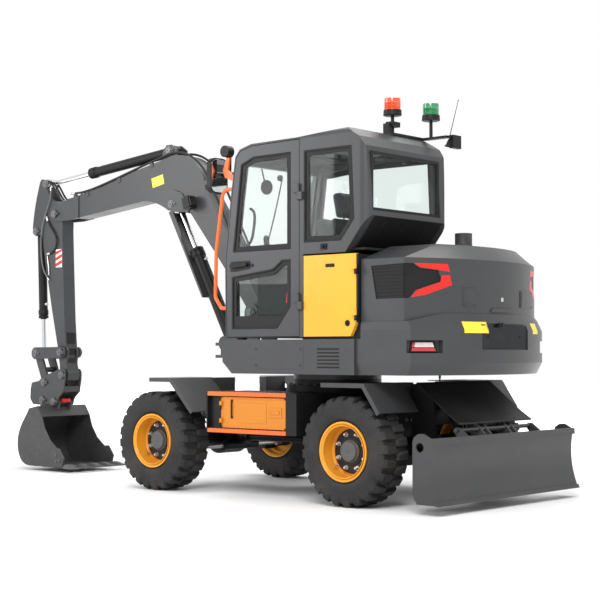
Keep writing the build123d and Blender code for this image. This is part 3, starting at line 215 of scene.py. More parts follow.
def makeDustGroup():
    # thin dust: more low down and on faces that look up
    group, start, end = newGroup(
        "roadDust",
        [("Colour", "Color", None), ("Dust Colour", "Color", None), ("Amount", "Float", 0.3),
         ("Roughness", "Float", 0.4)],
        [("Colour", "Color"), ("Roughness", "Float"), ("Mask", "Float")],
    )
    place = node(group, "NewGeometry")
    cloud = noise(group, place.outputs["Position"], 3.1, 6.0)
    speck = noise(group, place.outputs["Position"], 60.0, 3.0)
    split = node(group, "SeparateXYZ")
    wire(group, (place.outputs["Position"], split.inputs[0]))
    low = ramp(group, split.outputs["Z"], 1.3, 0.0)
    facing = node(group, "SeparateXYZ")
    wire(group, (place.outputs["Normal"], facing.inputs[0]))
    up = ramp(group, facing.outputs["Z"], 0.2, 1.0, 0.0, 0.7)
    patch = math(group, "MULTIPLY", ramp(group, cloud, 0.4, 0.75), ramp(group, speck, 0.25, 0.8, 0.4, 1.0))
    where = math(group, "ADD", math(group, "MULTIPLY", low, 0.8), up)
    mask = math(group, "MULTIPLY", math(group, "MULTIPLY", patch, where), start.outputs["Amount"])
    mixed = blendColour(group, mask, start.outputs["Colour"], start.outputs["Dust Colour"])
    rough = math(group, "ADD", start.outputs["Roughness"], math(group, "MULTIPLY", mask, 0.4))
    wire(group, (mixed, end.inputs["Colour"]), (rough, end.inputs["Roughness"]), (mask, end.inputs["Mask"]))
    return group


def makePeelGroup():
    # sprayed paint: orange peel, faint cloudiness, fine dust nibs
    group, start, end = newGroup(
        "sprayedPaint",
        [("Colour", "Color", None), ("Peel Scale", "Float", 380.0), ("Cloud", "Float", 0.08),
         ("Roughness", "Float", 0.35)],
        [("Colour", "Color"), ("Roughness", "Float"), ("Height", "Float")],
    )
    place = node(group, "TexCoord")
    spot = place.outputs["Object"]
    peel = noise(group, spot, start.outputs["Peel Scale"], 2.0)
    cloud = noise(group, spot, 2.3, 5.0)
    nib = node(group, "TexVoronoi")
    put(nib, Scale=90.0)
    wire(group, (spot, nib.inputs["Vector"]))
    nibMask = ramp(group, nib.outputs["Distance"], 0.10, 0.02)
    shade = math(group, "MULTIPLY", ramp(group, cloud, 0.3, 0.7, -1.0, 1.0), start.outputs["Cloud"])
    tint = node(group, "HueSaturation")
    wire(
        group, (start.outputs["Colour"], tint.inputs["Color"]),
        (math(group, "ADD", shade, 1.0), tint.inputs["Value"]),
    )
    rough = math(group, "ADD", start.outputs["Roughness"], ramp(group, cloud, 0.3, 0.7, -0.05, 0.06))
    height = math(group, "ADD", peel, math(group, "MULTIPLY", nibMask, 0.35))
    wire(
        group, (tint.outputs[0], end.inputs["Colour"]), (rough, end.inputs["Roughness"]),
        (height, end.inputs["Height"]),
    )
    return group


def makeWearGroup():
    # bare metal where soil rubs: a band of scratches along one direction
    group, start, end = newGroup(
        "rubbedMetal",
        [("Colour", "Color", None), ("Metal Colour", "Color", None), ("Amount", "Float", 0.5),
         ("Scratch Scale", "Float", 40.0)],
        [("Colour", "Color"), ("Mask", "Float"), ("Height", "Float")],
    )
    place = node(group, "TexCoord")
    stretch = node(group, "Mapping")
    put(stretch, Scale=(1.0, 0.12, 1.0))
    wire(group, (place.outputs["Object"], stretch.inputs["Vector"]))
    lines = noise(group, stretch.outputs[0], start.outputs["Scratch Scale"], 8.0, 0.7)
    worn = ramp(group, noise(group, place.outputs["Object"], 6.0, 5.0), 0.35, 0.65)
    mask = math(
        group, "MULTIPLY", math(group, "MULTIPLY", ramp(group, lines, 0.42, 0.6), worn),
        start.outputs["Amount"],
    )
    mixed = blendColour(group, mask, start.outputs["Colour"], start.outputs["Metal Colour"])
    wire(group, (mixed, end.inputs["Colour"]), (mask, end.inputs["Mask"]), (lines, end.inputs["Height"]))
    return group


groups = {"dust": makeDustGroup(), "peel": makePeelGroup(), "wear": makeWearGroup()}
dustTone = (0.19, 0.165, 0.135, 1)


def useGroup(tree, key, **values):
    made = tree.nodes.new("ShaderNodeGroup")
    made.node_tree = groups[key]
    for label, value in values.items():
        socket = made.inputs[label.replace("_", " ")]
        if isinstance(value, (int, float, tuple)):
            socket.default_value = value
        else:
            tree.links.new(value, socket)
    return made


def newMaterial(name):
    material = bpy.data.materials.new(name)
    material.use_nodes = True
    shader = material.node_tree.nodes["Principled BSDF"]
    return material, material.node_tree, shader


def addBump(tree, shader, height, strength, distance):
    bump = node(tree, "Bump")
    put(bump, Strength=strength, Distance=distance)
    wire(tree, (height, bump.inputs["Height"]), (bump.outputs[0], shader.inputs["Normal"]))
    return bump


def paintMaterial(name, colour, roughness, dust=0.25, cloud=0.08, coat=0.06, peel=0.25, gloss=0.28):
    material, tree, shader = newMaterial(name)
    paint = useGroup(tree, "peel", Colour=colour, Roughness=roughness, Cloud=cloud)
    dusty = useGroup(
        tree, "dust", Colour=paint.outputs["Colour"], Roughness=paint.outputs["Roughness"],
        Dust_Colour=dustTone, Amount=dust,
    )
    wire(tree, (dusty.outputs["Colour"], shader.inputs["Base Color"]),
         (dusty.outputs["Roughness"], shader.inputs["Roughness"]))
    put(shader, Coat_Weight=coat, Coat_Roughness=0.22, Specular_IOR_Level=gloss)
    addBump(tree, shader, paint.outputs["Height"], peel, 0.0004)
    return material


def wornMaterial(name, colour, amount, roughness=0.42, dust=0.25):
    material, tree, shader = newMaterial(name)
    paint = useGroup(tree, "peel", Colour=colour, Roughness=roughness, Cloud=0.12)
    worn = useGroup(
        tree, "wear", Colour=paint.outputs["Colour"], Metal_Colour=(0.30, 0.29, 0.28, 1), Amount=amount,
    )
    dusty = useGroup(
        tree, "dust", Colour=worn.outputs["Colour"], Roughness=paint.outputs["Roughness"],
        Dust_Colour=dustTone, Amount=dust,
    )
    wire(tree, (dusty.outputs["Colour"], shader.inputs["Base Color"]),
         (dusty.outputs["Roughness"], shader.inputs["Roughness"]),
         (worn.outputs["Mask"], shader.inputs["Metallic"]))
    put(shader, Specular_IOR_Level=0.3)
    addBump(tree, shader, worn.outputs["Height"], 0.2, 0.0006)
    return material


def rubberMaterial(name, colour, roughness=0.75, dust=0.35, grain=220.0):
    material, tree, shader = newMaterial(name)
    place = node(tree, "TexCoord")
    fine = noise(tree, place.outputs["Object"], grain, 3.0)
    broad = noise(tree, place.outputs["Object"], 9.0, 5.0)
    tint = blendColour(
        tree, ramp(tree, broad, 0.3, 0.7), colour, tuple(min(1.0, c * 1.45) for c in colour[:3]) + (1,),
    )
    dusty = useGroup(tree, "dust", Colour=tint, Roughness=roughness, Dust_Colour=dustTone, Amount=dust)
    wire(tree, (dusty.outputs["Colour"], shader.inputs["Base Color"]),
         (dusty.outputs["Roughness"], shader.inputs["Roughness"]))
    put(shader, Specular_IOR_Level=0.2)
    addBump(tree, shader, fine, 0.35, 0.0008)
    return material


def metalMaterial(name, colour, roughness, scratch=0.15):
    material, tree, shader = newMaterial(name)
    place = node(tree, "TexCoord")
    stretch = node(tree, "Mapping")
    put(stretch, Scale=(1.0, 1.0, 14.0))
    wire(tree, (place.outputs["Object"], stretch.inputs["Vector"]))
    lines = noise(tree, stretch.outputs[0], 60.0, 6.0)
    smear = noise(tree, place.outputs["Object"], 12.0, 4.0)
    wire(tree, (ramp(tree, smear, 0.3, 0.7, roughness * 0.8, roughness * 1.5), shader.inputs["Roughness"]))
    tint = blendColour(
        tree, ramp(tree, lines, 0.35, 0.65), colour, tuple(c * 0.8 for c in colour[:3]) + (1,),
    )
    wire(tree, (tint, shader.inputs["Base Color"]))
    put(shader, Metallic=1.0)
    addBump(tree, shader, lines, scratch, 0.0002)
    return material


def plasticMaterial(name, colour, roughness=0.5, grain=500.0):
    material, tree, shader = newMaterial(name)
    place = node(tree, "TexCoord")
    skin = node(tree, "TexVoronoi")
    put(skin, Scale=grain)
    wire(tree, (place.outputs["Object"], skin.inputs["Vector"]))
    cloud = noise(tree, place.outputs["Object"], 7.0, 4.0)
    tint = blendColour(
        tree, ramp(tree, cloud, 0.3, 0.7), colour, tuple(min(1.0, c * 1.25) for c in colour[:3]) + (1,),
    )
    wire(tree, (tint, shader.inputs["Base Color"]),
         (ramp(tree, cloud, 0.3, 0.7, roughness - 0.04, roughness + 0.08), shader.inputs["Roughness"]))
    put(shader, Specular_IOR_Level=0.2)
    addBump(tree, shader, skin.outputs["Distance"], 0.25, 0.0004)
    return material


def glassMaterial(name, colour, roughness=0.01):
    material, tree, shader = newMaterial(name)
    place = node(tree, "TexCoord")
    smear = noise(tree, place.outputs["Object"], 5.0, 5.0)
    wire(tree, (ramp(tree, smear, 0.4, 0.8, roughness, roughness + 0.03), shader.inputs["Roughness"]))
    put(
        shader, Base_Color=colour, Transmission_Weight=1.0, IOR=1.05, Specular_IOR_Level=0.5,
        Coat_Weight=0.25, Coat_Roughness=0.02,
    )
    return material


def glowMaterial(name, colour):
    # moulded lens: coloured plastic with fine ribs under a clear skin
    material, tree, shader = newMaterial(name)
    place = node(tree, "TexCoord")
    ribs = node(tree, "TexWave", wave_type="BANDS", bands_direction="Z")
    put(ribs, Scale=45.0)
    wire(tree, (place.outputs["Object"], ribs.inputs["Vector"]))
    deep = tuple(c * 0.6 for c in colour[:3]) + (1,)
    tint = blendColour(tree, ramp(tree, ribs.outputs["Fac"], 0.2, 0.8), colour, deep)
    wire(tree, (tint, shader.inputs["Base Color"]))
    put(shader, Roughness=0.18, Coat_Weight=0.8, Coat_Roughness=0.05)
    addBump(tree, shader, ribs.outputs["Fac"], 0.3, 0.0008)
    return material


def fabricMaterial(name, colour):
    material, tree, shader = newMaterial(name)
    place = node(tree, "TexCoord")
    weave = node(tree, "TexWave", wave_type="BANDS", bands_direction="DIAGONAL")
    put(weave, Scale=180.0, Distortion=1.5)
    wire(tree, (place.outputs["Object"], weave.inputs["Vector"]))
    cloud = noise(tree, place.outputs["Object"], 14.0, 5.0)
    tint = blendColour(
        tree, ramp(tree, cloud, 0.3, 0.7), colour, tuple(min(1.0, c * 1.5) for c in colour[:3]) + (1,),
    )
    wire(tree, (tint, shader.inputs["Base Color"]))
    put(shader, Roughness=0.85, Sheen_Weight=0.3)
    addBump(tree, shader, weave.outputs["Fac"], 0.4, 0.0006)
    return material


# name: maker, colour, and what it takes besides
recipes = {
    "bodyGrey": (paintMaterial, (0.041, 0.042, 0.044), dict(roughness=0.36, dust=0.12)),
    "chassisBlack": (
        paintMaterial, (0.0085, 0.0085, 0.009), dict(roughness=0.42, dust=0.10, coat=0.02, gloss=0.16),
    ),
    "amberPaint": (paintMaterial, (0.74, 0.30, 0.018), dict(roughness=0.32, dust=0.18, cloud=0.05)),
    "yellowPaint": (paintMaterial, (0.76, 0.335, 0.024), dict(roughness=0.30, dust=0.1, cloud=0.04)),
    "doorPaint": (paintMaterial, (0.56, 0.19, 0.012), dict(roughness=0.32, dust=0.12, cloud=0.05)),
    "orangePaint": (paintMaterial, (0.76, 0.13, 0.022), dict(roughness=0.34, dust=0.1, cloud=0.04)),
    "redPaint": (paintMaterial, (0.62, 0.022, 0.02), dict(roughness=0.3, dust=0.05, cloud=0.04)),
    "wornGrey": (wornMaterial, (0.042, 0.043, 0.045), dict(amount=0.10, dust=0.14)),
    "cuttingSteel": (wornMaterial, (0.075, 0.075, 0.077), dict(amount=0.5, roughness=0.45)),
    "hubBlack": (paintMaterial, (0.012, 0.011, 0.011), dict(roughness=0.5, dust=0.1)),
    "capGrey": (paintMaterial, (0.075, 0.076, 0.078), dict(roughness=0.5, dust=0.15)),
    "decalRed": (
        paintMaterial, (0.62, 0.018, 0.014),
        dict(roughness=0.28, dust=0.05, cloud=0.03, coat=0.08, peel=0.05),
    ),
    "decalWhite": (
        paintMaterial, (0.78, 0.78, 0.76), dict(roughness=0.3, dust=0.08, cloud=0.03, coat=0.08, peel=0.05),
    ),
    "decalYellow": (
        paintMaterial, (0.86, 0.66, 0.05), dict(roughness=0.3, dust=0.08, cloud=0.03, coat=0.08, peel=0.05),
    ),
    "leverRed": (paintMaterial, (0.70, 0.05, 0.03), dict(roughness=0.35, dust=0.02, cloud=0.03)),
    "tyreRubber": (rubberMaterial, (0.018, 0.018, 0.019), dict(roughness=0.7)),
    "leadRubber": (rubberMaterial, (0.11, 0.11, 0.11), dict(roughness=0.55, dust=0.1, grain=500.0)),
    "hoseRubber": (rubberMaterial, (0.012, 0.012, 0.013), dict(roughness=0.5, dust=0.1, grain=600.0)),
    "sealRubber": (rubberMaterial, (0.010, 0.010, 0.011), dict(roughness=0.6, dust=0.05, grain=400.0)),
    "brightSteel": (metalMaterial, (0.62, 0.61, 0.60), dict(roughness=0.28)),
    "chromeRod": (metalMaterial, (0.80, 0.81, 0.83), dict(roughness=0.08, scratch=0.05)),
    "castIron": (metalMaterial, (0.12, 0.12, 0.125), dict(roughness=0.6, scratch=0.5)),
    "cabPlastic": (plasticMaterial, (0.010, 0.012, 0.012), dict()),
    "darkPlastic": (plasticMaterial, (0.0075, 0.0075, 0.008), dict(roughness=0.42)),
    "greyPlastic": (plasticMaterial, (0.045, 0.05, 0.048), dict(roughness=0.5)),
    "cabGlass": (glassMaterial, (0.88, 0.925, 0.91), dict()),
    "lampGlass": (glassMaterial, (0.96, 0.97, 0.98), dict(roughness=0.04)),
    "lampRed": (glowMaterial, (0.60, 0.016, 0.012), dict()),
    "lampWhite": (glowMaterial, (0.80, 0.74, 0.74), dict()),
    "lampGreen": (glowMaterial, (0.02, 0.24, 0.08), dict()),
    "pinSteel": (metalMaterial, (0.16, 0.16, 0.165), dict(roughness=0.45, scratch=0.3)),
    "beaconAmber": (glowMaterial, (0.85, 0.085, 0.012), dict()),
    "mirrorSilver": (metalMaterial, (0.82, 0.84, 0.86), dict(roughness=0.03, scratch=0.0)),
    "seatFabric": (fabricMaterial, (0.022, 0.027, 0.028), dict()),
    "seatPiping": (plasticMaterial, (0.05, 0.05, 0.052), dict(roughness=0.5, grain=900.0)),
    "screenBlack": (plasticMaterial, (0.006, 0.007, 0.009), dict(roughness=0.12, grain=40.0)),
}
finishes = {
    name: maker(name, (*colour, 1), **more) for name, (maker, colour, more) in recipes.items()
}
print("finishes ready:", len(finishes))

# which CAD nodes take which finish
wearers = {
    "chassisBlack": [
        "chassis_frame", "front_axle", "rear_axle", "driveline", "knuckle_left", "knuckle_right",
        "step_box", "fuel_tank", "blade_cover", "side_bay",
    ],
    "brightSteel": ["steering_rod"],
    "bodyGrey": [
        "fenders", "blade", "blade_arms", "upper_frame", "counterweight", "engine_hood", "right_cover",
        "cab_shell", "cab_door", "boom_guard", "swing_post", "boom", "arm", "rocker", "bucket_link",
        "coupler",
    ],
    "orangePaint": ["step_rails", "grab_rail"],
    "doorPaint": ["box_door"],
    "castIron": ["engine"],
    "yellowPaint": ["side_panel"],
    "cabGlass": ["door_glass", "cab_glass"],
    "seatFabric": ["seat"],
    "cabPlastic": ["controls"],
    "darkPlastic": ["mirrors", "roof_lamps"],
    "hoseRubber": ["boom_hoses", "arm_hoses"],
    "wornGrey": ["bucket"],
}
nodeFinish = {name: finish for finish, names in wearers.items() for name in names}
for ramName in ("blade_ram", "swing_ram", "boom_ram", "arm_ram", "bucket_ram"):
    nodeFinish[ramName + "_barrel"] = "chassisBlack"
    nodeFinish[ramName + "_rod"] = "chromeRod"
for corner in ("front_left", "front_right", "rear_left", "rear_right"):
    nodeFinish["rim_" + corner] = "amberPaint"
    nodeFinish["tyre_" + corner] = "tyreRubber"
for nodeName, cadObject in cadNodes.items():
    cadObject.data.materials.clear()
    cadObject.data.materials.append(finishes[nodeFinish[nodeName]])
    edges = cadObject.modifiers.new("softEdges", "BEVEL")
    edges.width = 0.003
    edges.segments = 2
    edges.limit_method = "ANGLE"
    edges.angle_limit = radians(40)
    edges.harden_normals = False
print("CAD nodes dressed")


# mesh helpers: lengths in metres, x counted from the slewing axis
def prism(bm, outline, low, high):
    # outline in x and z, between two distances to the left
    left = [bm.verts.new(at(x, high, z)) for x, z in outline]
    right = [bm.verts.new(at(x, low, z)) for x, z in outline]
    bm.faces.new(left)
    bm.faces.new(list(reversed(right)))
    for n in range(len(outline)):
        m = (n + 1) % len(outline)
        bm.faces.new((left[m], left[n], right[n], right[m]))


def boxPart(bm, low, high):
    prism(bm, rectangle(low[0], low[2], high[0], high[2]), low[1], high[1])


def lathe(bm, centre, axis, profile, steps=32):
    # profile: distance along the axis, radius; closed where the radius is 0
    axis = Vector(axis).normalized()
    side = axis.orthogonal().normalized()
    other = axis.cross(side)
    rows = []
    for along, radius in profile:
        spot = Vector(centre) + axis * along
        if radius < 1e-6:
            rows.append([bm.verts.new(spot)])
            continue
        ringPoints = [(cos(2 * pi * n / steps), sin(2 * pi * n / steps)) for n in range(steps)]
        rows.append([bm.verts.new(spot + (side * c + other * s) * radius) for c, s in ringPoints])
    for a, b in zip(rows, rows[1:]):
        for n in range(steps):
            m = (n + 1) % steps
            corners = [a[n % len(a)], a[m % len(a)], b[m % len(b)], b[n % len(b)]]
            corners = list(dict.fromkeys(corners))
            if len(corners) > 2:
                bm.faces.new(corners)
    return rows


def finishMesh(name, bm, finish, body, bevel=0.0, angle=32):
    bmesh.ops.remove_doubles(bm, verts=bm.verts, dist=1e-6)
    bmesh.ops.recalc_face_normals(bm, faces=bm.faces)
    for edge in bm.edges:
        if len(edge.link_faces) == 2 and edge.calc_face_angle(0) > radians(angle):
            edge.smooth = False
    for part in bm.faces:
        part.smooth = True
    mesh = bpy.data.meshes.new(name)
    bm.to_mesh(mesh)
    bm.free()
    piece = bpy.data.objects.new(name, mesh)
    bpy.context.collection.objects.link(piece)
    mesh.materials.append(finishes[finish])
    if bevel:
        soft = piece.modifiers.new("softEdges", "BEVEL")
        soft.width = bevel
        soft.segments = 2
        soft.limit_method = "ANGLE"
        soft.angle_limit = radians(35)
    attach(piece, body)
    return piece


def joinRows(bm, rows, capped=True):
    # faces between neighbouring rows of vertices that each go round, and a cap at each end
    for a, b in zip(rows, rows[1:]):
        for n in range(len(a)):
            m = (n + 1) % len(a)
            bm.faces.new((a[n], a[m], b[m], b[n]))
    if capped:
        bm.faces.new(rows[0])
        bm.faces.new(rows[-1])


def rectangle(x0, z0, x1, z1):
    return [(x0, z0), (x1, z0), (x1, z1), (x0, z1)]


def plug(radius, straight, high, tip):
    # lathe profile of a round plug: straight wall, then a chamfer up to its face
    return [(0, 0), (0, radius), (straight, radius), (high, tip), (high, 0)]


def onePiece(name, finish, body, bevel, maker, *shape):
    bm = bmesh.new()
    maker(bm, *shape)
    return finishMesh(name, bm, finish, body, bevel)


def boltHead(bm, centre, axis, across=0.012, high=0.008, washer=True):
    # six-sided head with a chamfer, on a washer
    reach = across / 2
    if washer:
        lathe(
            bm, centre, axis, [(0, 0), (0, reach * 1.55), (high * 0.25, reach * 1.5), (high * 0.25, 0)], 20,
        )
    profile = [(0, reach * 1.12), (high * 0.85, reach * 1.12), (high, reach * 0.9), (high, 0)]
    lathe(bm, centre, axis, profile, 6)


def tube(name, points, radius, finish, body, steps=4):
    curve = bpy.data.curves.new(name, "CURVE")
    curve.dimensions = "3D"
    line = curve.splines.new("NURBS")
    line.points.add(len(points) - 1)
    for spot, point in zip(line.points, points):
        spot.co = (*point, 1)
    line.order_u = 3
    line.use_endpoint_u = True
    line.resolution_u = 6
    curve.bevel_depth = radius
    curve.bevel_resolution = steps
    curve.use_fill_caps = True
    piece = bpy.data.objects.new(name, curve)
    bpy.context.collection.objects.link(piece)
    curve.materials.append(finishes[finish])
    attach(piece, body)
    return piece


# wheels
wheelLook = {
    "tyreRadius": 0.420,
    "treadRadius": 0.390,
    "halfWidth": 0.157,
    "lugCount": 24,
    "lugLong": 0.066,
    "rimRadius": 0.228,
    "nutCount": 8,
    "nutCircle": 0.137,
    "discFace": 0.806,        # outer face of the wheel disc, from the middle plane
    "wheelMiddle": 0.785,
}


def makeTyre(corner, x, side, w):
    middle = at(x, side * w["wheelMiddle"], w["tyreRadius"])
    out = Vector((0, side, 0))
    half, rim, tread = w["halfWidth"], w["rimRadius"], w["treadRadius"]
    wall = [
        (half - 0.032, rim - 0.012), (half - 0.031, rim + 0.004), (half - 0.020, rim + 0.014),
        (half - 0.014, rim + 0.016), (half - 0.010, rim + 0.024), (half - 0.004, rim + 0.040),
        (half - 0.001, rim + 0.062), (half, rim + 0.085), (half - 0.002, rim + 0.100),
        (half + 0.000, rim + 0.104), (half - 0.001, rim + 0.110), (half - 0.006, rim + 0.128),
        (half - 0.012, tread - 0.010), (half - 0.022, tread),
    ]
    bm = bmesh.new()
    profile = [(-a, r) for a, r in wall] + [(-0.05, tread + 0.002), (0.05, tread + 0.002)]
    profile += [(a, r) for a, r in reversed(wall)]
    lathe(bm, middle, out, profile, 96)
    step = 2 * pi / w["lugCount"]
    for hand in (-1, 1):
        for n in range(w["lugCount"]):
            turn = step * (n + hand / 4)
            addLug(bm, middle, out * hand, turn, w)
    return finishMesh("treaded_tyre_" + corner, bm, "tyreRubber", "wheel_" + corner, 0.0025, 24)


def addLug(bm, middle, out, turn, w):
    # block with sloped flanks, wider at the shoulder, with a shoulder that runs down the wall
    up = Vector((sin(turn), 0, cos(turn)))
    along = Vector((cos(turn), 0, -sin(turn)))
    half, tip, tread = w["halfWidth"], w["tyreRadius"] - 0.0035, w["treadRadius"]
    long = w["lugLong"]
    stations = [
        # distance from the middle, height of the top, half length at the top and the foot, foot radius
        (0.006, tread + 0.010, long * 0.22, long * 0.42, tread - 0.006),
        (0.014, tip, long * 0.30, long * 0.46, tread - 0.006),
        (0.080, tip + 0.002, long * 0.38, long * 0.52, tread - 0.006),
        (0.126, tip, long * 0.44, long * 0.56, tread - 0.010),
        (half - 0.010, tread + 0.006, long * 0.47, long * 0.58, tread - 0.030),
        (half - 0.001, tread - 0.036, long * 0.44, long * 0.54, tread - 0.052),
    ]
    rows = []
    for y, top, halfTop, halfFoot, foot in stations:
        skew = (y - 0.08) * 0.10
        spots = [(-halfFoot, foot), (-halfTop, top), (halfTop, top), (halfFoot, foot)]
        rows.append([bm.verts.new(middle + out * y + along * (a + skew) + up * r) for a, r in spots])
    for a, b in zip(rows, rows[1:]):
        for n in range(3):
            bm.faces.new((a[n], a[n + 1], b[n + 1], b[n]))
    bm.faces.new(rows[0])
    bm.faces.new(rows[-1])


def makeHub(corner, x, side, w):
    out = Vector((0, side, 0))
    wheelHigh = w["tyreRadius"]

    def ringAt(y):
        return at(x, side * y, wheelHigh)

    bm = bmesh.new()
    face0 = w["discFace"]
    lathe(bm, ringAt(face0 - 0.002), out, [
        (0, 0.060), (0.004, 0.168), (0.010, 0.170), (0.014, 0.164), (0.014, 0.110), (0.022, 0.106),
        (0.024, 0.080), (0.024, 0.060),
    ], 48)
    finishMesh("hub_plate_" + corner, bm, "hubBlack", "wheel_" + corner, 0.001)
    bm = bmesh.new()
    for n in range(w["nutCount"]):
        turn = 2 * pi * (n + 0.5) / w["nutCount"]
        spot = at(
            x + sin(turn) * w["nutCircle"], side * (face0 + 0.010), wheelHigh + cos(turn) * w["nutCircle"],
        )
        lathe(
            bm, spot, out,
            [(0, 0), (0, 0.021), (0.004, 0.020), (0.004, 0.0165), (0.018, 0.0165), (0.020, 0.014)], 6,
        )
        lathe(bm, spot, out, [(0.016, 0.0125), (0.030, 0.0105), (0.033, 0.006), (0.033, 0)], 16)
    finishMesh("wheel_nuts_" + corner, bm, "brightSteel", "wheel_" + corner, 0.0008)
    onePiece("hub_cap_" + corner, "capGrey", "wheel_" + corner, 0.001, lathe, ringAt(0.828), out, [
        (0, 0.088), (0.012, 0.088), (0.018, 0.082), (0.020, 0.078), (0.036, 0.0755), (0.0395, 0.070),
        (0.0385, 0.050), (0.0385, 0.012), (0.042, 0.010), (0.042, 0),
    ], 40)
    # locking ring inside the dish, and the valve
    onePiece("lock_ring_" + corner, "amberPaint", "wheel_" + corner, 0.0008, lathe, ringAt(0.918), out, [
        (-0.010, 0.2015), (-0.010, 0.196), (0.004, 0.194), (0.010, 0.198), (0.010, 0.2035),
    ], 72)
    foot = at(x + 0.13, side * 0.815, wheelHigh - 0.115)
    onePiece("valve_" + corner, "brightSteel", "wheel_" + corner, 0, lathe, foot, out, [
        (0, 0.007), (0.012, 0.007), (0.014, 0.005), (0.040, 0.005), (0.042, 0.0065), (0.056, 0.0065),
        (0.058, 0.004),
        (0.058, 0),
    ], 14)


wheelSpots = {
    "front_left": (1.285, 1), "front_right": (1.285, -1),
    "rear_left": (-0.815, 1), "rear_right": (-0.815, -1),
}
for corner, (wheelX, wheelSide) in wheelSpots.items():
    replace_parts(makeTyre(corner, wheelX, wheelSide, wheelLook), "tyre_" + corner)
    makeHub(corner, wheelX, wheelSide, wheelLook)
print("wheels ready")


# tail: grilles, marks, hinge plates and blank stickers on the hood and the counterweight
tailLook = {
    "hoodRadius": 1.638,
    "hoodHalf": 0.895,
    "tailRadius": 1.700,
    "tailBend": 1.340,          # above this height the counterweight slopes in to the hood
    "tailTop": (1.470, 1.642),
    "grille": [
        (-1.065, 1.817), (-1.410, 1.828), (-1.438, 1.792), (-1.503, 1.781), (-1.517, 1.700),
        (-1.418, 1.629), (-1.393, 1.570), (-1.112, 1.568),
    ],
    "slatSpan": (1.590, 1.806),
    "slatPitch": 0.026,
    "slatHigh": 0.009,
    "grilleInset": 0.0085,
    "grilleEdge": (1.8245, 1.569),      # top and foot of the grille where the corner starts
    "lockHeight": 1.575,
    "upperMark": [(0.828, 1.828), (0.571, 1.827), (0.554, 1.768), (0.640, 1.781), (0.787, 1.799)],
    "lowerMark": [
        (0.621, 1.740), (0.554, 1.746), (0.537, 1.672), (0.752, 1.594), (0.850, 1.577), (0.806, 1.629),
        (0.700, 1.668), (0.630, 1.690),
    ],
    "hingeHeights": (1.518, 1.655),
    "hingeSpans": ((0.311, 0.439), (-0.598, -0.300)),
    "stickerSpans": ((0.250, 0.490), (-0.570, -0.430)),
    "stickerHeights": (1.315, 1.400),
}


def tailRadiusAt(z):
    top, radius = tailLook["tailTop"]
    slope = max(0.0, z - tailLook["tailBend"]) / (top - tailLook["tailBend"])
    return tailLook["tailRadius"] + (radius - tailLook["tailRadius"]) * slope


def onTail(radius, y):
    return -(radius * radius - y * y) ** 0.5


def tailSkin(bm, radius, outline, lift, depth=0.004, step=0.02):
    # plate that follows the round back: outline in y and z, cut into upright strips
    spots = [Vector((y, z, 0)) for y, z in outline]
    strip = bmesh.new()
    strip.faces.new([strip.verts.new(p) for p in spots])
    low = min(p.x for p in spots)
    high = max(p.x for p in spots)
    y = low + step
    while y < high:
        geometry = strip.verts[:] + strip.edges[:] + strip.faces[:]
        bmesh.ops.bisect_plane(strip, geom=geometry, plane_co=(y, 0, 0), plane_no=(1, 0, 0))
        y += step
    faces = strip.faces[:]
    made = bmesh.ops.extrude_face_region(strip, geom=faces)
    raised = {v for v in made["geom"] if isinstance(v, bmesh.types.BMVert)}
    for v in strip.verts:
        y, z = v.co.x, v.co.y
        reach = (radius(z) if callable(radius) else radius) + (lift if v in raised else lift - depth)
        v.co = at(onTail(reach, y), y, z)
    mesh = bpy.data.meshes.new("strip")
    strip.to_mesh(mesh)
    strip.free()
    bm.from_mesh(mesh)
    bpy.data.meshes.remove(mesh)


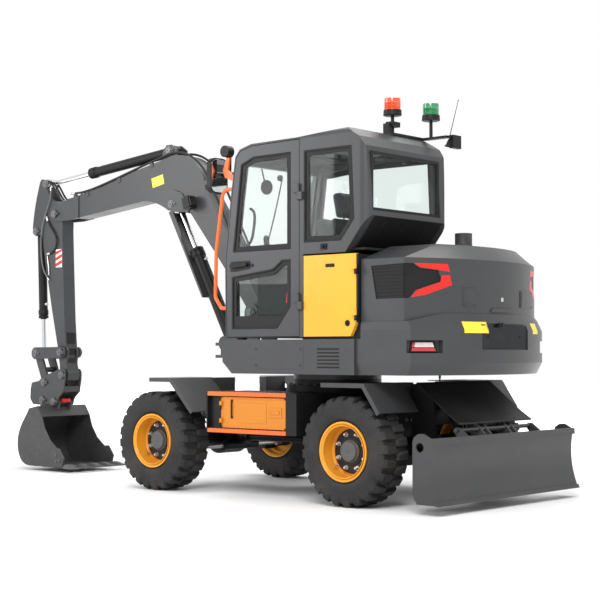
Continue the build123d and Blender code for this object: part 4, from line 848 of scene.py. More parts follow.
def makeTail(t):
    for hand, label in ((1, "left"), (-1, "right")):
        # the panel follows the side and turns with the corner, so it is cut where the round back starts
        turnX = onTail(t["hoodRadius"], t["hoodHalf"])
        bm = bmesh.new()
        inset = t["grilleInset"]
        flat = [(x, z) for x, z in t["grille"] if x > turnX]
        edgeTop, edgeFoot = t["grilleEdge"]
        outline = [flat[0], (turnX, edgeTop), (turnX, edgeFoot), flat[-1]]
        face = t["hoodHalf"] - inset
        low, high = sorted((hand * (face - 0.004), hand * face))
        prism(bm, outline, low, high)
        low, high = sorted((hand * (face - 0.001), hand * (face + 0.0065)))
        z, top = t["slatSpan"]
        while z < top:
            x0 = -1.105 + (z - 1.568) * 0.165
            x1, head = turnX + 0.004, z + t["slatHigh"]
            prism(bm, [(x0, z), (x0, head), (x1, head), (x1, z)], low, high)
            z += t["slatPitch"]
        finishMesh("side_grille_" + label, bm, "darkPlastic", "engine_hood", 0.0006)
        bm = bmesh.new()
        start = hand * t["hoodHalf"]
        corner = [(hand * (t["hoodRadius"] ** 2 - x * x) ** 0.5, z) for x, z in t["grille"] if x < turnX]
        tailSkin(bm, t["hoodRadius"], [(start, edgeTop), *corner, (start, edgeFoot)], -inset)
        finishMesh("corner_grille_" + label, bm, "darkPlastic", "engine_hood")
        for key in ("upperMark", "lowerMark"):
            onePiece(
                key + "_" + label, "decalRed", "engine_hood", 0, tailSkin, t["hoodRadius"],
                [(hand * y, z) for y, z in t[key]], 0.0012,
            )
    for n, (y0, y1) in enumerate(t["hingeSpans"]):
        bm = bmesh.new()
        z0, z1 = t["hingeHeights"]
        tailSkin(bm, t["hoodRadius"], rectangle(y0, z0, y1, z1), 0.006, 0.010)
        inner, edge = 0.016, 0.014
        raised = rectangle(y0 + inner, z0 + inner, y1 - inner, z1 - inner)
        tailSkin(bm, t["hoodRadius"], raised, 0.009, 0.006)
        for y in (y0 + edge, y1 - edge):
            for z in (z0 + edge, z1 - edge):
                spot = at(onTail(t["hoodRadius"] + 0.005, y), y, z)
                outward = Vector((onTail(t["hoodRadius"], y), y, 0)).normalized()
                boltHead(bm, spot, outward, 0.012, 0.006)
        finishMesh("hood_plate_%d" % n, bm, "bodyGrey", "engine_hood", 0.0008)
    for n, (y0, y1) in enumerate(t["stickerSpans"]):
        bm = bmesh.new()
        z0, z1 = t["stickerHeights"]
        bend = t["tailBend"]
        for low, high in ((z0, bend), (bend, z1)):
            tailSkin(bm, tailRadiusAt, rectangle(y0, low, y1, high), 0.0018)
        finishMesh("blank_sticker_%d" % n, bm, "decalYellow", "upper")
    # hood latch and handle lip at the back
    onePiece(
        "hood_handle", "bodyGrey", "engine_hood", 0.003, tailSkin, t["hoodRadius"],
        [(-0.16, 1.476), (0.16, 1.476), (0.13, 1.505), (-0.13, 1.505)], 0.014, 0.018,
    )
    spot = at(onTail(t["hoodRadius"], 0) + 0.002, 0, t["lockHeight"])
    onePiece("hood_lock", "brightSteel", "engine_hood", 0, lathe, spot, (-1, 0, 0), [
        (0, 0), (0, 0.018), (0.006, 0.018), (0.008, 0.015), (0.008, 0.006), (0.005, 0.005), (0.005, 0),
    ], 24)


makeTail(tailLook)
print("tail panels ready")

# lamps: tail and beacons
lampLook = {
    "tailLow": 1.170,
    "tailHigh": 1.255,
    "tailEnds": ((-1.398, 0.868), (-1.512, 0.672)),
    "deep": 0.03,
    "beaconSpots": [(-0.800, 0.279, 3.055, "beaconAmber"), (-0.915, -0.082, 3.045, "lampGreen")],
}


def makeTailLamp(side, label, l):
    z0, z1 = l["tailLow"], l["tailHigh"]
    a, b = [at(x, side * y, 0) for x, y in l["tailEnds"]]
    out = Vector((-(a - b).y * side, (a - b).x * side, 0)).normalized()
    if out.x > 0:
        out = -out

    def bar(bm, low, high, start, end, lift):
        rows = []
        for z, s, e in ((low, *start), (high, *end)):
            spots = [a.lerp(b, s), a.lerp(b, e)]
            rows.append([Vector((p.x, p.y, z)) for p in spots])
        (p0, p1), (p3, p2) = rows
        corners = (p0, p1, p2, p3)
        joinRows(bm, [[bm.verts.new(p + out * reach) for p in corners] for reach in (-l["deep"], lift)])

    middle, top = z0 + 0.038, z1 - 0.010
    for part, finish, bevel, low, high, start, end, lift in (
        ("case_", "darkPlastic", 0.002, z0 - 0.002, z1 + 0.002, (0.0, 1.0), (0.06, 0.90), 0.004),
        ("stop_", "lampRed", 0.003, z0 + 0.008, z0 + 0.034, (0.05, 0.93), (0.09, 0.88), 0.014),
        ("white_", "lampWhite", 0.003, middle, top, (0.15, 0.86), (0.19, 0.80), 0.014),
        ("edge_", "lampRed", 0.003, middle, top, (0.06, 0.13), (0.10, 0.17), 0.0135),
    ):
        onePiece("tail_lamp_" + part + label, finish, "upper", bevel, bar, low, high, start, end, lift)


for side, label in ((1, "left"), (-1, "right")):
    makeTailLamp(side, label, lampLook)
for n, (x, y, z, lens) in enumerate(lampLook["beaconSpots"]):
    onePiece("beacon_base_%d" % n, "darkPlastic", "upper", 0.0008, lathe, at(x, y, z - 0.006), (0, 0, 1), [
        (0, 0), (0, 0.060), (0.004, 0.0735), (0.018, 0.0740), (0.020, 0.0725), (0.034, 0.0725),
        (0.040, 0.068), (0.050, 0.0665), (0.050, 0),
    ], 40)
    bm = bmesh.new()
    profile = [(0.042, 0.0), (0.042, 0.0655)]
    for k in range(10):
        profile += [(0.050 + k * 0.006, 0.0670), (0.053 + k * 0.006, 0.0645)]
    profile += [
        (0.116, 0.0650), (0.1395, 0.0640), (0.146, 0.056), (0.150, 0.036), (0.1515, 0.014), (0.1515, 0),
    ]
    lathe(bm, at(x, y, z - 0.006), (0, 0, 1), profile, 48)
    finishMesh("beacon_lens_%d" % n, bm, lens, "upper")
print("lamps ready")


# cylinders: glands, wipers and ports
ramLook = {
    # name: base pin, rod pin, length of the barrel, bore radius, rod radius
    "boom_ram": ((1.210, 1.250), (1.920, 2.546), 0.990, 0.050, 0.029),
    "arm_ram": ((1.980, 3.055), (3.795, 2.882), 1.185, 0.040, 0.026),
    "bucket_ram": ((3.935, 2.405), (3.882, 1.160), 0.888, 0.035, 0.022),
}


def makeRamTrim(name, look):
    base, end, reach, bore, rod = look
    start, stop = at(base[0], 0, base[1]), at(end[0], 0, end[1])
    axis = (stop - start).normalized()
    head = start + axis * reach
    body = name + "_barrel"
    outer = bore + 0.010
    onePiece(name + "_gland", "chassisBlack", body, 0.001, lathe, head - axis * 0.085, axis, [
        (0, outer - 0.001), (0, outer + 0.004), (0.006, outer + 0.006), (0.050, outer + 0.006),
        (0.054, outer + 0.001), (0.060, outer + 0.001), (0.064, outer + 0.005), (0.082, outer + 0.005),
        (0.086, outer + 0.001), (0.086, rod + 0.012),
    ], 40)
    onePiece(name + "_wiper", "sealRubber", body, 0, lathe, head - axis * 0.002, axis, [
        (0, rod + 0.001), (0, rod + 0.013), (0.006, rod + 0.012), (0.012, rod + 0.006),
        (0.013, rod + 0.001),
    ], 32)
    # port blocks
    flank = Vector((-axis.z, 0, axis.x))
    if flank.z < 0:
        flank = -flank
    bm = bmesh.new()
    for along in (0.13, reach - 0.14):
        spot = start + axis * along + flank * (outer - 0.006)
        lathe(bm, spot, flank, plug(0.017, 0.016, 0.018, 0.015), 24)
        lathe(bm, spot + flank * 0.016, flank, plug(0.014, 0.014, 0.016, 0.012), 6)
    finishMesh(name + "_ports", bm, "brightSteel", body, 0.0008)


for name, look in ramLook.items():
    makeRamTrim(name, look)
print("cylinders trimmed")

# pins: heads, retainers and grease points
pinLook = [
    # name, body, x, z, half width over which the pin shows, radius
    ("foot_pin", "swing_post", 0.880, 1.520, 0.150, 0.030),
    ("boom_lift_pin", "boom", 1.920, 2.546, 0.104, 0.030),
    ("arm_pin", "boom", 3.600, 2.560, 0.120, 0.030),
    ("arm_ram_foot_pin", "boom", 1.980, 3.055, 0.076, 0.030),
    ("arm_ram_eye_pin", "arm", 3.795, 2.882, 0.072, 0.030),
    ("bucket_ram_foot_pin", "arm", 3.935, 2.405, 0.082, 0.030),
    ("rocker_pin", "arm", 3.489, 1.168, 0.130, 0.030),
    ("rocker_end_pin", "rocker", 3.882, 1.160, 0.117, 0.030),
    ("bucket_pin", "bucket", 3.478, 0.942, 0.117, 0.030),
    ("link_pin", "bucket", 3.752, 0.866, 0.117, 0.030),
    ("hook_pin_front", "bucket", 3.776, 0.688, 0.117, 0.030),
    ("hook_pin_back", "bucket", 3.596, 0.676, 0.117, 0.030),
]


def makePinHeads(name, body, x, z, half, radius):
    bm = bmesh.new()
    for hand in (1, -1):
        out = (0, hand, 0)
        lathe(bm, at(x, hand * (half - 0.004), z), out, [
            (0, 0), (0, radius + 0.010), (0.007, radius + 0.010), (0.009, radius + 0.008),
            (0.009, radius - 0.001),
            (0.014, radius - 0.001), (0.017, radius - 0.005), (0.017, 0.009), (0.015, 0.008), (0.015, 0),
        ], 32)
        lathe(bm, at(x, hand * (half + 0.010), z), out, [
            (0, 0), (0, 0.005), (0.005, 0.0045), (0.007, 0.003), (0.009, 0.0035), (0.010, 0.002),
            (0.010, 0),
        ], 10)
    finishMesh(name + "_heads", bm, "pinSteel", body, 0.0008)
    bm = bmesh.new()
    hand = 1
    y0 = half - 0.002
    low, high = y0, y0 + 0.007
    prism(bm, [
        (x - radius - 0.034, z - 0.013), (x - radius + 0.008, z - 0.013), (x - radius + 0.008, z + 0.013),
        (x - radius - 0.034, z + 0.013),
    ], low, high)
    boltHead(bm, at(x - radius - 0.018, high, z), (0, hand, 0), 0.015, 0.009)
    finishMesh(name + "_keeper", bm, "pinSteel", body, 0.0008)


for row in pinLook:
    makePinHeads(*row)
print("pins ready")


# hoses: the routes of the part, as smooth curves
hoseLook = {
    "boomRoute": [
        (0.930, 1.838), (1.040, 2.020), (1.150, 2.216), (1.262, 2.424), (1.372, 2.628), (1.488, 2.834),
        (1.658, 2.978), (1.872, 3.038), (2.090, 2.990), (2.310, 2.941), (2.540, 2.885), (2.770, 2.830),
        (3.000, 2.778), (3.230, 2.744), (3.360, 2.750),
    ],
    "armRoute": [
        (3.752, 2.540), (3.722, 2.478), (3.672, 2.422), (3.616, 2.362), (3.588, 2.288), (3.606, 2.216),
        (3.664, 2.174), (3.738, 2.162),
    ],
    "leadRoute": [
        (3.690, 2.836), (3.684, 2.762), (3.712, 2.684), (3.752, 2.606), (3.790, 2.526), (3.826, 2.430),
        (3.842, 2.310), (3.838, 2.180), (3.820, 2.060), (3.774, 1.962), (3.706, 1.900),
    ],
    "boomSide": 0.089,
    "armSide": 0.087,
    "boomRadius": 0.011,
    "armRadius": 0.009,
    "leadRadius": 0.007,
}


def hoseEnd(bm, points, side, radius, last=False):
    # crimped sleeve and hexagon nut on the end of a hose
    a, b = (points[-1], points[-2]) if last else (points[0], points[1])
    start, inward = at(a[0], side, a[1]), at(b[0], side, b[1])
    axis = (inward - start).normalized()
    lathe(
        bm, start - axis * 0.002, axis,
        [(0, 0), (0, radius * 1.35), (radius * 1.4, radius * 1.35), (radius * 1.5, radius)], 6,
    )
    lathe(bm, start + axis * radius * 1.5, axis, [
        (0, radius * 1.02), (0, radius * 1.22), (radius * 0.9, radius * 1.25),
        (radius * 1.1, radius * 1.15),
        (radius * 2.0, radius * 1.25), (radius * 2.2, radius * 1.15), (radius * 3.4, radius * 1.2),
        (radius * 3.6, radius),
    ], 20)


def makeHoses(h):
    for side, label in ((h["boomSide"], "left"), (-h["boomSide"], "right")):
        route = [at(x, side, z) for x, z in h["boomRoute"]]
        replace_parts(tube("boom_hose_" + label, route, h["boomRadius"], "hoseRubber", "boom"), "boom_hoses")
        bm = bmesh.new()
        hoseEnd(bm, h["boomRoute"], side, h["boomRadius"])
        hoseEnd(bm, h["boomRoute"], side, h["boomRadius"], True)
        finishMesh("boom_hose_ends_" + label, bm, "brightSteel", "boom", 0.0004)
    for key, radius, finish in (
        ("armRoute", h["armRadius"], "hoseRubber"), ("leadRoute", h["leadRadius"], "leadRubber"),
    ):
        route = [at(x, h["armSide"], z) for x, z in h[key]]
        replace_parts(tube("hose_" + key, route, radius, finish, "arm"), "arm_hoses")
        bm = bmesh.new()
        hoseEnd(bm, h[key], h["armSide"], radius)
        hoseEnd(bm, h[key], h["armSide"], radius, True)
        finishMesh("hose_ends_" + key, bm, "brightSteel", "arm", 0.0004)


makeHoses(hoseLook)
print("hoses ready")

# cab: seals, frames round the glass, handle, latch, wiper, inner lining
cabLook = {
    "outerSide": 0.925,
    "upperGlass": [(0.338, 1.978), (0.248, 2.690), (0.110, 2.742), (-0.291, 2.745), (-0.291, 1.979)],
    "lowerGlass": [
        (0.348, 1.783), (0.348, 1.356), (-0.149, 1.355), (-0.291, 1.527), (-0.291, 1.900), (-0.194, 1.900),
        (-0.097, 1.831),
    ],
    "rearGlass": [(-0.425, 2.742), (-0.425, 2.020), (-0.800, 2.020), (-0.930, 2.180), (-0.905, 2.741)],
    "rightGlass": [
        (0.338, 1.990), (0.240, 2.700), (-0.291, 2.745), (-0.905, 2.741), (-0.930, 2.180), (-0.800, 2.020),
    ],
    "backGlass": [(-0.010, 2.240), (-0.010, 2.690), (0.862, 2.690), (0.862, 2.240)],    # y and z
    "backSpan": (-1.046, -1.020),
    "backSealWide": 0.024,
    "sealWide": 0.016,
    "bandWide": 0.046,
    "handleSpan": (0.185, 0.325),       # the two feet of the door handle
    "doorLock": (0.120, 1.868),
    "doorCatch": (-0.630, 1.982),
    "wiperMotor": (0.345, 0.330, 2.640),
}


def inward(outline, step):
    # the outline moved in by a step on every side
    count = len(outline)
    pairs = list(zip(outline, outline[1:] + outline[:1]))
    area = sum(a[0] * b[1] - b[0] * a[1] for a, b in pairs)
    turn = 1 if area > 0 else -1
    moved = []
    for n in range(count):
        before, here, after = Vector(outline[n - 1]), Vector(outline[n]), Vector(outline[(n + 1) % count])
        d0, d1 = (here - before).normalized(), (after - here).normalized()
        n0, n1 = Vector((-d0.y, d0.x)) * turn, Vector((-d1.y, d1.x)) * turn
        mid = (n0 + n1).normalized()
        moved.append(tuple(here + mid * (step / max(0.35, mid.dot(n0)))))
    return moved


def frameRing(bm, outline, outer, inner, low, high):
    # band between two insets of an outline in x and z
    rows = []
    for step, y in ((outer, low), (outer, high), (inner, high), (inner, low)):
        rows.append([bm.verts.new(at(x, y, z)) for x, z in inward(outline, step)])
    joinRows(bm, [*rows, rows[0]], False)


def makeCabTrim(c):
    out = c["outerSide"]
    windows = [
        ("upper_window", "upperGlass", out, 1, "cab_door"),
        ("lower_window", "lowerGlass", out, 1, "cab_door"),
        ("rear_window", "rearGlass", out, 1, "upper"), ("right_window", "rightGlass", -0.115, -1, "upper"),
    ]
    for name, key, y, hand, body in windows:
        bm = bmesh.new()
        low, high = sorted((y - hand * 0.012, y + hand * 0.001))
        frameRing(bm, c[key], -0.001, c["sealWide"], low, high)
        finishMesh(name + "_seal", bm, "sealRubber", body, 0.003)
        bm = bmesh.new()
        low, high = sorted((y - hand * 0.0115, y - hand * 0.0075))
        frameRing(bm, c[key], -0.001, c["bandWide"], low, high)
        finishMesh(name + "_band", bm, "darkPlastic", body, 0.001)
    # black foot of the lower door glass
    onePiece(
        "lower_window_foot", "darkPlastic", "cab_door", 0.001, prism,
        [(0.346, 1.358), (0.346, 1.462), (-0.232, 1.462), (-0.148, 1.358)], out - 0.0112, out - 0.0068,
    )
    # seal of the window across the cab's back
    bm = bmesh.new()
    low, high = c["backSpan"]
    wide = c["backSealWide"]
    rows = []
    for step, x in ((-0.001, low), (-0.001, high), (wide, high), (wide, low)):
        rows.append([bm.verts.new(at(x, y, z)) for y, z in inward(c["backGlass"], step)])
    joinRows(bm, [*rows, rows[0]], False)
    finishMesh("back_window_seal", bm, "sealRubber", "upper", 0.002)
    # door handle with its recess, above the lower glass
    onePiece(
        "door_recess", "darkPlastic", "cab_door", 0.002, prism,
        [(0.300, 1.822), (0.360, 1.822), (0.360, 1.905), (0.140, 1.905), (0.140, 1.840)], out - 0.004,
        out + 0.002,
    )
    bm = bmesh.new()
    prism(
        bm,
        [(0.335, 1.850), (0.349, 1.862), (0.345, 1.884), (0.168, 1.890), (0.160, 1.878), (0.170, 1.862)],
        out + 0.012, out + 0.030,
    )
    for x in c["handleSpan"]:
        prism(bm, rectangle(x - 0.012, 1.858, x + 0.012, 1.886), out, out + 0.016)
    x, z = c["doorLock"]
    lathe(bm, at(x, out + 0.001, z), (0, 1, 0), plug(0.014, 0.004, 0.006, 0.012), 24)
    finishMesh("door_handle", bm, "darkPlastic", "cab_door", 0.003)
    # catch that holds the door open, on the cab's rear corner
    bm = bmesh.new()
    x, z = c["doorCatch"]
    prism(bm, rectangle(x - 0.030, z - 0.022, x + 0.030, z + 0.022), out - 0.002, out + 0.010)
    lathe(bm, at(x, out + 0.008, z), (0, 1, 0), plug(0.012, 0.016, 0.020, 0.008), 20)
    finishMesh("door_catch", bm, "darkPlastic", "upper", 0.002)
    # inner lining: rear wall, roof lining, post covers and the sill
    bm = bmesh.new()
    boxPart(bm, (-0.405, 0.868, 1.345), (-0.300, 0.878, 2.760))
    boxPart(bm, (-0.400, 0.640, 1.345), (-0.385, 0.868, 1.930))
    boxPart(bm, (-0.400, -0.065, 1.345), (-0.385, 0.640, 1.960))
    boxPart(bm, (-0.985, -0.065, 1.945), (-0.405, 0.868, 1.965))
    finishMesh("cab_lining", bm, "cabPlastic", "upper", 0.004)
    bm = bmesh.new()
    boxPart(bm, (-0.960, -0.050, 2.790), (-0.360, 0.860, 2.802))
    boxPart(bm, (-0.030, -0.050, 2.775), (0.230, 0.860, 2.787))
    boxPart(bm, (-0.700, 0.200, 2.755), (-0.420, 0.620, 2.792))
    finishMesh("roof_lining", bm, "greyPlastic", "upper", 0.006)
    # wiper on the front window
    onePiece(
        "wiper_motor", "darkPlastic", "upper", 0.001, lathe, at(*c["wiperMotor"]), (1, 0, 0.16),
        plug(0.026, 0.020, 0.024, 0.022), 24,
    )


makeCabTrim(cabLook)
print("cab trim ready")

# yellow side panel: pull slot and lock; dark sheet under the cab's back as painted shade; step plates on the
# skirt
coverLook = {
    "panelSide": 0.925,
    "slot": (-0.690, 1.835),
    "lock": (-0.862, 1.392),
    "skinSpan": (-0.030, 0.838),
    "ribSpots": (0.15, 0.41, 0.67),
    "hinge": (-0.379, 0.937),
    "hingeHeights": (1.564, 2.420),
    "hingeHalf": (0.064, 0.060),
    "skirtPlate": (0.111, 1.040, -0.418, 1.228),
    "plateFace": -1.659,
    "camera": (-1.688, 0.075, 1.378),
    "exhaustTop": (-1.147, -0.200, 2.118),
}


def makeCovers(c):
    y = c["panelSide"]
    x, z = c["slot"]
    bm = bmesh.new()
    boxPart(bm, (x - 0.045, y - 0.006, z - 0.014), (x + 0.045, y + 0.003, z + 0.014))
    boxPart(bm, (x - 0.036, y, z - 0.006), (x + 0.036, y + 0.009, z + 0.010))
    finishMesh("panel_pull", bm, "darkPlastic", "side_panel", 0.002)
    x, z = c["lock"]
    bm = bmesh.new()
    lathe(bm, at(x, y - 0.001, z), (0, 1, 0), [
        (0, 0), (0, 0.024), (0.005, 0.024), (0.008, 0.020), (0.008, 0.012), (0.004, 0.010), (0.004, 0),
    ], 28)
    boxPart(bm, (x - 0.003, y + 0.002, z - 0.011), (x + 0.003, y + 0.012, z + 0.011))
    finishMesh("panel_lock", bm, "darkPlastic", "side_panel", 0.001)
    # dark sheet under the overhang, with pressed ribs: painted shade, because the overhang's grey underside
    # looks black only where light from above cannot reach it
    low, high = c["skinSpan"]
    bm = bmesh.new()
    prism(bm, [
        (-0.842, 1.9285), (-1.060, 2.197), (-1.063, 2.203), (-1.0655, 2.198), (-0.845, 1.9255),
        (-0.470, 1.9255),
        (-0.470, 1.9295),
    ], low, high - 0.004)
    for y in c["ribSpots"]:
        prism(
            bm, [(-0.868, 1.9615), (-1.030, 2.161), (-1.0355, 2.157), (-0.873, 1.956)], y - 0.02, y + 0.02,
        )
    finishMesh("overhang_painted_shade_sheet", bm, "darkPlastic", "upper", 0.002)
    # covers on the ends of the door hinges
    bm = bmesh.new()
    foot, head = c["hingeHalf"]
    for z in c["hingeHeights"]:
        lathe(
            bm, at(*c["hinge"], z - foot), (0, 0, 1),
            [(0, 0), (0, 0.010), (0.002, 0.012), (0.004, 0.012), (0.004, 0)], 16,
        )
        lathe(bm, at(*c["hinge"], z + head), (0, 0, 1), plug(0.012, 0.002, 0.004, 0.010), 16)
    finishMesh("hinge_ends", bm, "darkPlastic", "upper")
    # plate on the skirt under the cab
    bm = bmesh.new()
    x0, z0, x1, z1 = c["skirtPlate"]
    face, edge = 0.9265, 0.03
    prism(bm, [(x0, z0), (x0, z1), (x1, z1), (x1, z0)], face - 0.0035, face)
    for x in (x0 - edge, x1 + edge):
        for z in (z0 + edge, z1 - edge):
            boltHead(bm, at(x, face, z), (0, 1, 0), 0.014, 0.006)
    finishMesh("skirt_plate", bm, "bodyGrey", "upper", 0.001)
    # recess for a plate at the back, left blank
    bm = bmesh.new()
    boxPart(bm, (-1.659, -0.312, 1.198), (-1.652, 0.312, 1.382))
    boxPart(bm, (-1.664, -0.300, 1.372), (-1.650, 0.300, 1.380))
    for y in (-0.22, 0.22):
        boltHead(bm, at(c["plateFace"], y, 1.290), (-1, 0, 0), 0.012, 0.006)
    finishMesh("plate_recess", bm, "screenBlack", "upper", 0.001)
    # rear view camera over the recess
    bm = bmesh.new()
    boxPart(bm, (-1.690, 0.040, 1.360), (-1.650, 0.110, 1.395))
    lathe(
        bm, at(*c["camera"]), (-1, 0, 0),
        [(0, 0), (0, 0.013), (0.010, 0.013), (0.013, 0.009), (0.012, 0)], 20,
    )
    finishMesh("rear_camera", bm, "darkPlastic", "upper", 0.003)
    # exhaust: rolled rim and rain lip
    onePiece("exhaust_rim", "castIron", "upper", 0, lathe, at(*c["exhaustTop"]), (0, 0, 1), [
        (-0.110, 0.069), (-0.108, 0.074), (-0.094, 0.074), (-0.092, 0.069), (0, 0.069), (0.004, 0.071),
        (0.006, 0.066), (0.004, 0.062), (-0.090, 0.061), (-0.090, 0),
    ], 36)


makeCovers(coverLook)
print("covers ready")


# seat: sewn cushions with piping
seatLook = {
    "middle": (-0.100, 0.380, 1.620),       # under the seat cushion
    "baseHalf": (0.235, 0.235, 0.062),
    "backHalf": (0.290, 0.215, 0.058),
    "headHalf": (0.105, 0.125, 0.046),
    "backLean": 12.0,
    "crown": 0.30,
    "pinch": 0.07,
    "pipe": 0.004,
}


def cushionSpot(u, v, w, half, crown, pinch):
    # u, v and w from -1 to 1 on a box: rounded edges, crowned faces, sides pulled in between corners
    size = Vector(half)
    spot = Vector((u * size.x, v * size.y, w * size.z))
    curl = min(size) * 0.85
    core = Vector([max(-(size[n] - curl), min(size[n] - curl, spot[n])) for n in range(3)])
    off = spot - core
    spot = core + (off.normalized() * curl if off.length > 1e-9 else off)
    swell = (1 - u ** 4) * (1 - v ** 4)
    spot.z *= 0.80 + crown * swell
    spot.x *= 1 - pinch * (1 - v * v) * u * u
    spot.y *= 1 - pinch * (1 - u * u) * v * v
    return spot


def makeCushion(name, centre, lean, half, s, channels=()):
    place = Matrix.Translation(Vector(centre)) @ Matrix.Rotation(radians(lean), 4, "Y")
    bm = bmesh.new()
    bmesh.ops.create_cube(bm, size=2.0)
    bmesh.ops.subdivide_edges(bm, edges=bm.edges[:], cuts=22, use_grid_fill=True)
    for vert in bm.verts:
        u, v, w = vert.co
        spot = cushionSpot(u, v, w, half, s["crown"], s["pinch"])
        for where in channels:
            # a sewn channel presses a valley into the top
            if w > 0:
                spot.z -= 0.010 * max(0.0, 1 - abs(u - where) / 0.09) ** 0.5 * (1 - v ** 6)
        vert.co = place @ spot
    piece = finishMesh(name, bm, "seatFabric", "upper", 0.0, 60)
    soft = piece.modifiers.new("soften", "SUBSURF")
    soft.levels = 1
    soft.render_levels = 1
    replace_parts(piece, "seat")
    # piping along the upper and the lower seam
    for level, label in ((0.72, "upper"), (-0.72, "lower")):
        points = []
        for n in range(33):
            turn = 2 * pi * n / 32
            c, d = cos(turn), sin(turn)
            reach = 1 / max(abs(c), abs(d))
            points.append(
                place @ (cushionSpot(c * reach, d * reach, level, half, s["crown"], s["pinch"]) * 1.006)
            )
        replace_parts(tube(name + "_piping_" + label, points, s["pipe"], "seatPiping", "upper", 2), "seat")


def makeSeat(s):
    x, y, z = s["middle"]
    makeCushion("seat_cushion", at(x, y, z + 0.010), -3, s["baseHalf"], s, (0.35, -0.10))
    lean = 90 - s["backLean"]
    makeCushion("seat_back", at(x - 0.245, y, z + 0.345), -lean, s["backHalf"], s, (-0.30, 0.15, 0.55))
    makeCushion("head_rest", at(x - 0.305, y, z + 0.730), -lean, s["headHalf"], s)
    for hand, label in ((1, "left"), (-1, "right")):
        bm = bmesh.new()
        low, high = sorted((y + hand * 0.262, y + hand * 0.318))
        prism(bm, [
            (x - 0.230, z + 0.175), (x - 0.215, z + 0.215), (x + 0.110, z + 0.222), (x + 0.140, z + 0.200),
            (x + 0.130, z + 0.170), (x - 0.180, z + 0.150),
        ], low, high)
        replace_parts(finishMesh("arm_rest_" + label, bm, "cabPlastic", "upper", 0.014), "seat")
    # suspension: bellows between two plates, and the back's shell
    bm = bmesh.new()
    lowZ, highZ = 1.333, z - 0.058
    boxPart(bm, (x - 0.190, y - 0.190, lowZ), (x + 0.160, y + 0.190, lowZ + 0.030))
    boxPart(bm, (x - 0.200, y - 0.200, highZ - 0.024), (x + 0.190, y + 0.200, highZ + 0.010))
    folds = 6
    deep = (highZ - 0.024 - lowZ - 0.030) / folds
    for n in range(folds):
        foot = lowZ + 0.030 + n * deep
        prism(bm, [
            (x - 0.150, foot), (x - 0.178, foot + deep / 2), (x - 0.150, foot + deep),
            (x + 0.130, foot + deep),
            (x + 0.158, foot + deep / 2), (x + 0.130, foot),
        ], y - 0.165, y + 0.165)
    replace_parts(finishMesh("seat_suspension", bm, "cabPlastic", "upper", 0.004), "seat")
    bm = bmesh.new()
    prism(bm, [
        (x - 0.240, z + 0.030), (x - 0.215, z + 0.035), (x - 0.300, z + 0.600), (x - 0.330, z + 0.620),
        (x - 0.352, z + 0.600), (x - 0.275, z + 0.050),
    ], y - 0.185, y + 0.185)
    for rodY in (y - 0.055, y + 0.055):
        lathe(
            bm, at(x - 0.318, rodY, z + 0.58), (-0.16, 0, 1),
            [(0, 0), (0, 0.007), (0.13, 0.007), (0.13, 0)], 14,
        )
    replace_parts(finishMesh("seat_shell", bm, "cabPlastic", "upper", 0.006), "seat")


makeSeat(seatLook)
print("seat ready")

# controls: steering wheel, levers, screen, pedals, red safety lever
controlLook = {
    "wheelCentre": (0.170, 0.380, 1.803),
    "wheelTilt": (-0.55, 0, 0.835),
    "wheelRing": 0.1715,
    "wheelThick": 0.0185,
    "gripSpots": ((0.100, 0.0175), (0.100, 0.763)),
    "gripFoot": 1.990,
    "buttonSides": (-0.009, 0.009),
    "pedalSides": (0.270, 0.480),
    "treadCount": 5,
    "grabBar": [
        (0.300, 0.800, 2.050), (0.262, 0.790, 2.050), (0.225, 0.790, 2.180), (0.215, 0.790, 2.330),
        (0.262, 0.800, 2.340),
    ],
    "wiperArm": [(0.330, 0.330, 2.640), (0.372, 0.350, 2.400), (0.404, 0.420, 2.120)],
}


